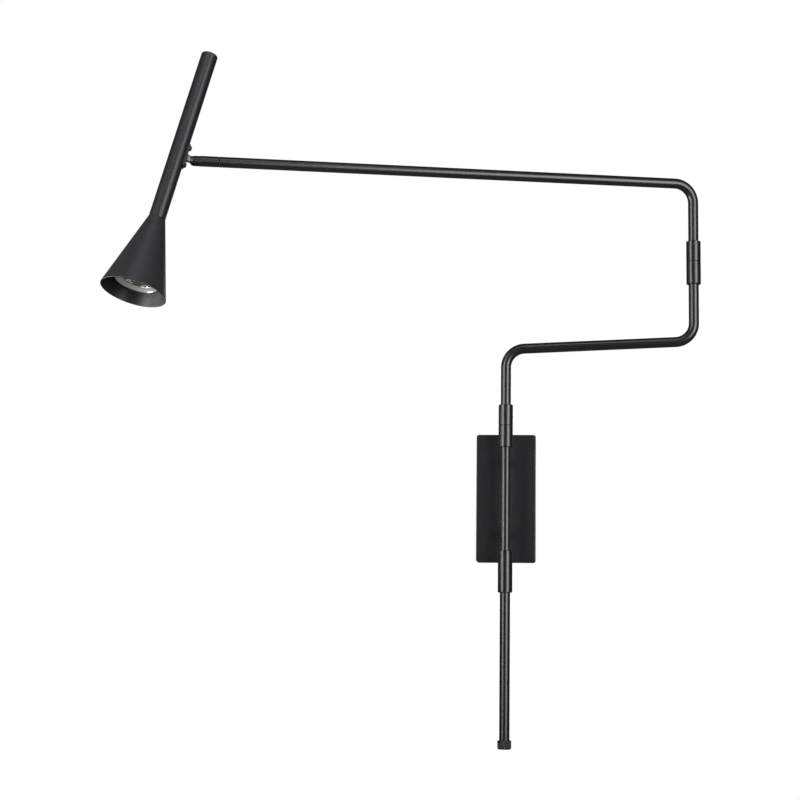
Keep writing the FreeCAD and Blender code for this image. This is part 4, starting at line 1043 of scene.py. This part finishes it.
def build_rim_and_lens():
    """Bright funnel-shaped rim and pressed lens; gives the height of the rim's face."""
    face, hub = heights("lamp_bezel", HEAD_AXIS)
    inner = WINDOW_RADIUS
    outer = RIM_RADIUS
    back = face + 3.5
    corners = [(inner, hub, 0.2), (inner + 1.4, hub, 0.2), (inner + 1.9, back, 0.2), (outer - 0.4, back, 0.2),
               (outer, back - 0.5, 0.2), (outer, face + 0.8, 0.5), (outer - 0.8, face, 0.4),
               (outer - 1.4, face, 0.3), (outer - 1.8, face + 0.5, 0.2), (outer - 2.4, face + 0.62, 0.2),
               (inner + 1.8, face + 2.4, 0.2), (inner + 1.4, face + 2.42, 0.2), (inner, back - 0.3, 0.2)]
    placed("lamp_rim_pressed", hollow(HEAD_AXIS, corners, 4, 144), "head", "lamp_rim", "lamp_bezel")
    low, high = heights("lamp_lens", HEAD_AXIS)
    middle = (low + high) / 2
    edge = inner - 0.05
    front = low - middle
    thin = [(0, front), (6, front + 0.1), (12, front + 0.3), (edge, front + 0.7), (edge, -front), (0, -front)]
    base = turned(OWN_FRAME, spaced(thin, 0.4), 180)
    lens = grown(RIPPLE_TREE, base, {"Pitch": 0.0026, "Depth": -0.0004, "Reach": 0.0162})
    lens.transform(HEAD_AXIS @ moved(0, 0, middle))
    placed("lens_pressed", lens, "head", "lens_glass", "lamp_lens", 60)
    return face


def build_reflector(rim):
    """Faceted reflector that widens from the lamp's base to the back of its rim."""
    back = heights("lamp_body", HEAD_AXIS)[1]
    outside = [(0, 0), (10.2, 0), (10.8, 0.3), (11.0, 0.8), (11.0, 9), (13.5, 15), (18.5, 27), (22.6, 38)]
    inside = [(21.2, 37), (19.3, 32), (17.0, 27), (14.6, 22), (12.0, 17.5), (8.0, 15.6), (3.4, 15.0),
              (3.0, 19.0), (0, 19.6)]
    outline = [(r, back - d) for r, d in outside]
    outline += [(24.4, rim + 1.2), (24.4, rim + 0.02), (22.9, rim + 0.02)]
    outline += [(r, back - d) for r, d in inside]
    placed("reflector", turned(HEAD_AXIS, outline, 40), "head", "lamp_shell", "lamp_body", 4)


def build_holder():
    """Ceramic holder, its disc, two domed screws and the lamp's pins."""
    low, high = heights("lamp_holder", HEAD_AXIS)
    r = HOLDER_RADIUS
    waist = r - 0.4
    corners = [(0, low, 0), (r, low, 0.8), (r, low + 6, 0.2), (waist, low + 6.4, 0.1), (waist, high - 5, 0.1),
               (r, high - 4.6, 0.2), (r, high, 0.8), (0, high, 0)]
    cutters = []
    for side in (-1, 1):
        cutters.append(plain_rod(HEAD_AXIS @ moved(side * 5.0, 0, 0), 2.8, low - 1, low + 8, 32))
        screw = HEAD_AXIS @ moved(0, side * HOLDER_SCREW_OFFSET, 0)
        cutters.append(plain_rod(screw, GRUB_RADIUS + HOLE_ROOM, low - 1, high + 1, 24))
        cutters.append(plain_rod(screw, 2.9, low - 1, low + 3, 32))
    holder = combined(turned(HEAD_AXIS, softened(corners)), cutters)
    placed("holder", eased(holder, 0.15, 2, 50), "head", "white_ceramic", "lamp_holder")
    refined("holder_disc", "holder_bracket", "head", "zinc_steel", 0.15)
    down = HEAD_AXIS.to_3x3() @ Vector((0, 0, -1))
    places = [(local_point(HEAD_AXIS, 0, side * HOLDER_SCREW_OFFSET, low + 2.95), down) for side in (-1, 1)]
    mesh = set_parts(domed_screw(2.7, 1.8, 1.5, 1.5, 15.4), places, 2)
    placed("holder_screws_domed", mesh, "head", "zinc_steel", "holder_screws")
    refined("pins", "lamp_pins", "head", "brass", 0.12)


def build_lead():
    """Lead from the knuckle down the head tube."""
    low = heights("head_lead", HEAD)[0]
    corners = ((4.5, 0, 0), (HEAD_OFFSET, 0, 0), (HEAD_OFFSET, 0, low))
    path = [tuple(local_point(HEAD, *corner) / MM) for corner in corners]
    cable("lead", "head_lead", "head", path, 5.0, LEAD_RADIUS)


# -------- behind the cover and inside the joints
def build_back():
    """Bracket, grommet, earth screw, terminal block with its screws, nuts and cables."""
    for name, node, finish, width, steps in BACK_PIECES:
        refined(name, node, "wall_unit", finish, width, steps)
    for name, node, z, start, end in (("feed_flex", "feed_cable", POST_HEIGHTS[0], 0, 1),
                                      ("switch_flex", "switch_cable", POST_HEIGHTS[1], 1, 0)):
        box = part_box(node)
        path = [(0, -10, box[start].z / MM), (0, -10, z), (0, STEM_Y, z), (0, STEM_Y, box[end].z / MM)]
        cable(name, node, "wall_unit", path, 7.0)


BACK_PIECES = (
    ("bracket", "wall_bracket", "zinc_steel", 0.3, 2),
    ("grommet", "cable_grommet", "black_rubber", 0.4, 3),
    ("earth_screw_plated", "earth_screw", "brass", 0.15, 2),
    ("terminals", "terminal_block", "white_nylon", 0.25, 2),
    ("terminal_clamps", "terminal_screws", "brass", 0.1, 2),
    ("nuts", "post_nuts", "zinc_steel", 0.25, 2),
)
INNER = {
    "black_plastic": ("switch_body", "shoulder_thrust_washer", "elbow_thrust_washer"),
    "zinc_steel": ("switch_spindle", "shoulder_pivot", "elbow_pivot"),
    "brass": ("shoulder_bush", "elbow_bush"),
    "spring_steel": ("shoulder_friction_washer", "shoulder_retaining_ring", "elbow_friction_washer",
                     "elbow_retaining_ring", "swivel_retaining_ring", "swivel_friction_washer"),
}


def finish_inner():
    """Materials for the pieces that stay as they are inside the joints."""
    for finish, nodes in INNER.items():
        for node in nodes:
            mesh = NODES[node].data
            mesh.materials.clear()
            mesh.materials.append(FINISHES[finish])


build_canopy()
build_side_screws()
build_posts()
build_stem()
build_joint("shoulder", STEM, "wall_unit", "lower_arm")
build_joint("elbow", ELBOW, "lower_arm", "upper_arm")
build_lower_arm()
build_upper_arm()
build_arm_end()
build_head_joint()
build_head_tube()
build_shade()
build_reflector(build_rim_and_lens() + 3.6)
build_holder()
build_lead()
build_knob()
build_back()
finish_inner()


# -------- stage
def make_camera():
    """Camera at the viewing angle, without shift or depth of field."""
    yaw = math.radians(-4.495)
    pitch = math.radians(7.111)
    roll = math.radians(0.648)
    ahead = Vector((math.sin(yaw) * math.cos(pitch), math.cos(yaw) * math.cos(pitch), math.sin(pitch)))
    right = Vector((math.cos(yaw), -math.sin(yaw), 0))
    up = right.cross(ahead)
    across = right * math.cos(roll) + up * math.sin(roll)
    upward = up * math.cos(roll) - right * math.sin(roll)
    turn = Matrix((across, upward, -ahead)).transposed().to_4x4()
    data = bpy.data.cameras.new("camera")
    data.sensor_width = 36.0
    data.lens = 90.6912
    data.clip_start = 0.05
    data.clip_end = 50.0
    camera = bpy.data.objects.new("camera", data)
    camera.matrix_world = Matrix.Translation((0.0606, -2.4170, -0.1821)) @ turn
    bpy.context.scene.collection.objects.link(camera)
    bpy.context.scene.camera = camera


def softbox(name, azimuth, elevation, distance, width, height, power, aim, spread=80.0):
    """Rectangular soft light facing the aimed point; azimuth 0 is straight in front."""
    a = math.radians(azimuth)
    e = math.radians(elevation)
    away = Vector((math.sin(a) * math.cos(e), -math.cos(a) * math.cos(e), math.sin(e)))
    data = bpy.data.lights.new(name, "AREA")
    data.shape = "RECTANGLE"
    data.size = width
    data.size_y = height
    data.energy = power
    data.spread = math.radians(spread)
    light = bpy.data.objects.new(name, data)
    turn = away.to_track_quat("Z", "Y").to_matrix().to_4x4()
    light.matrix_world = Matrix.Translation(Vector(aim) + away * distance) @ turn
    bpy.context.scene.collection.objects.link(light)


def seen_strength(nodes, seen, diffuse, rest):
    """Strength that depends on the ray: seen directly, lighting a matt surface, or anything else."""
    rays = nodes.add("ShaderNodeLightPath").outputs
    matt = nodes.sum("MULTIPLY_ADD", rays["Is Diffuse Ray"], diffuse - rest, rest)
    return nodes.sum("MULTIPLY_ADD", rays["Is Camera Ray"], seen - rest, matt)


def make_floor():
    """Plain pale floor, as far below the lamp as a room's floor is."""
    bm = bmesh.new()
    bmesh.ops.create_grid(bm, x_segments=8, y_segments=8, size=3.0)
    mesh = mesh_from(bm)
    mesh.transform(moved(0, 0, FLOOR_HEIGHT))
    f = Finish("pale_floor")
    mesh.materials.append(f.painted(
        Base_Color=f.mix(f.ramp(f.noise(60.0), 0.3, 0.7), (0.80, 0.80, 0.79), (0.84, 0.84, 0.83)),
        Roughness=f.patchy(15.0, 3.0, 0.75, 0.9), Emission_Color=(1, 1, 1, 1),
        Emission_Strength=seen_strength(f, 0.9, 0.0, 0.0)))
    floor = bpy.data.objects.new("floor", mesh)
    bpy.context.scene.collection.objects.link(floor)


def make_world():
    """White surround to the eye, dim surround for light."""
    world = bpy.data.worlds.new("studio")
    world.use_nodes = True
    world.node_tree.nodes.clear()
    nodes = Nodes(world.node_tree)
    feeds = {"Color": (1, 1, 1, 1), "Strength": seen_strength(nodes, 1.0, 0.22, 0.05)}
    nodes.add("ShaderNodeOutputWorld", {"Surface": nodes.add("ShaderNodeBackground", feeds)})
    bpy.context.scene.world = world


make_camera()
make_floor()
make_world()
softbox("left_strip", -46, 0, 2.2, 0.90, 2.0, 13, (0, -0.05, 0.68))
softbox("right_strip", 43, 0, 2.2, 1.40, 2.0, 18, (0, -0.05, 0.66))
softbox("upper_front", 5, 50, 2.4, 1.6, 0.40, 2.8, (-0.1, -0.1, 0.34))
softbox("low_left", -86, -12, 0.6, 0.24, 0.24, 0.55, (-0.40, -0.28, 0.18), 40.0)
softbox("back_fill", 170, 14, 1.2, 0.5, 0.5, 0.12, (0, 0, 0), 30.0)
bpy.context.scene.view_settings.view_transform = "Standard"
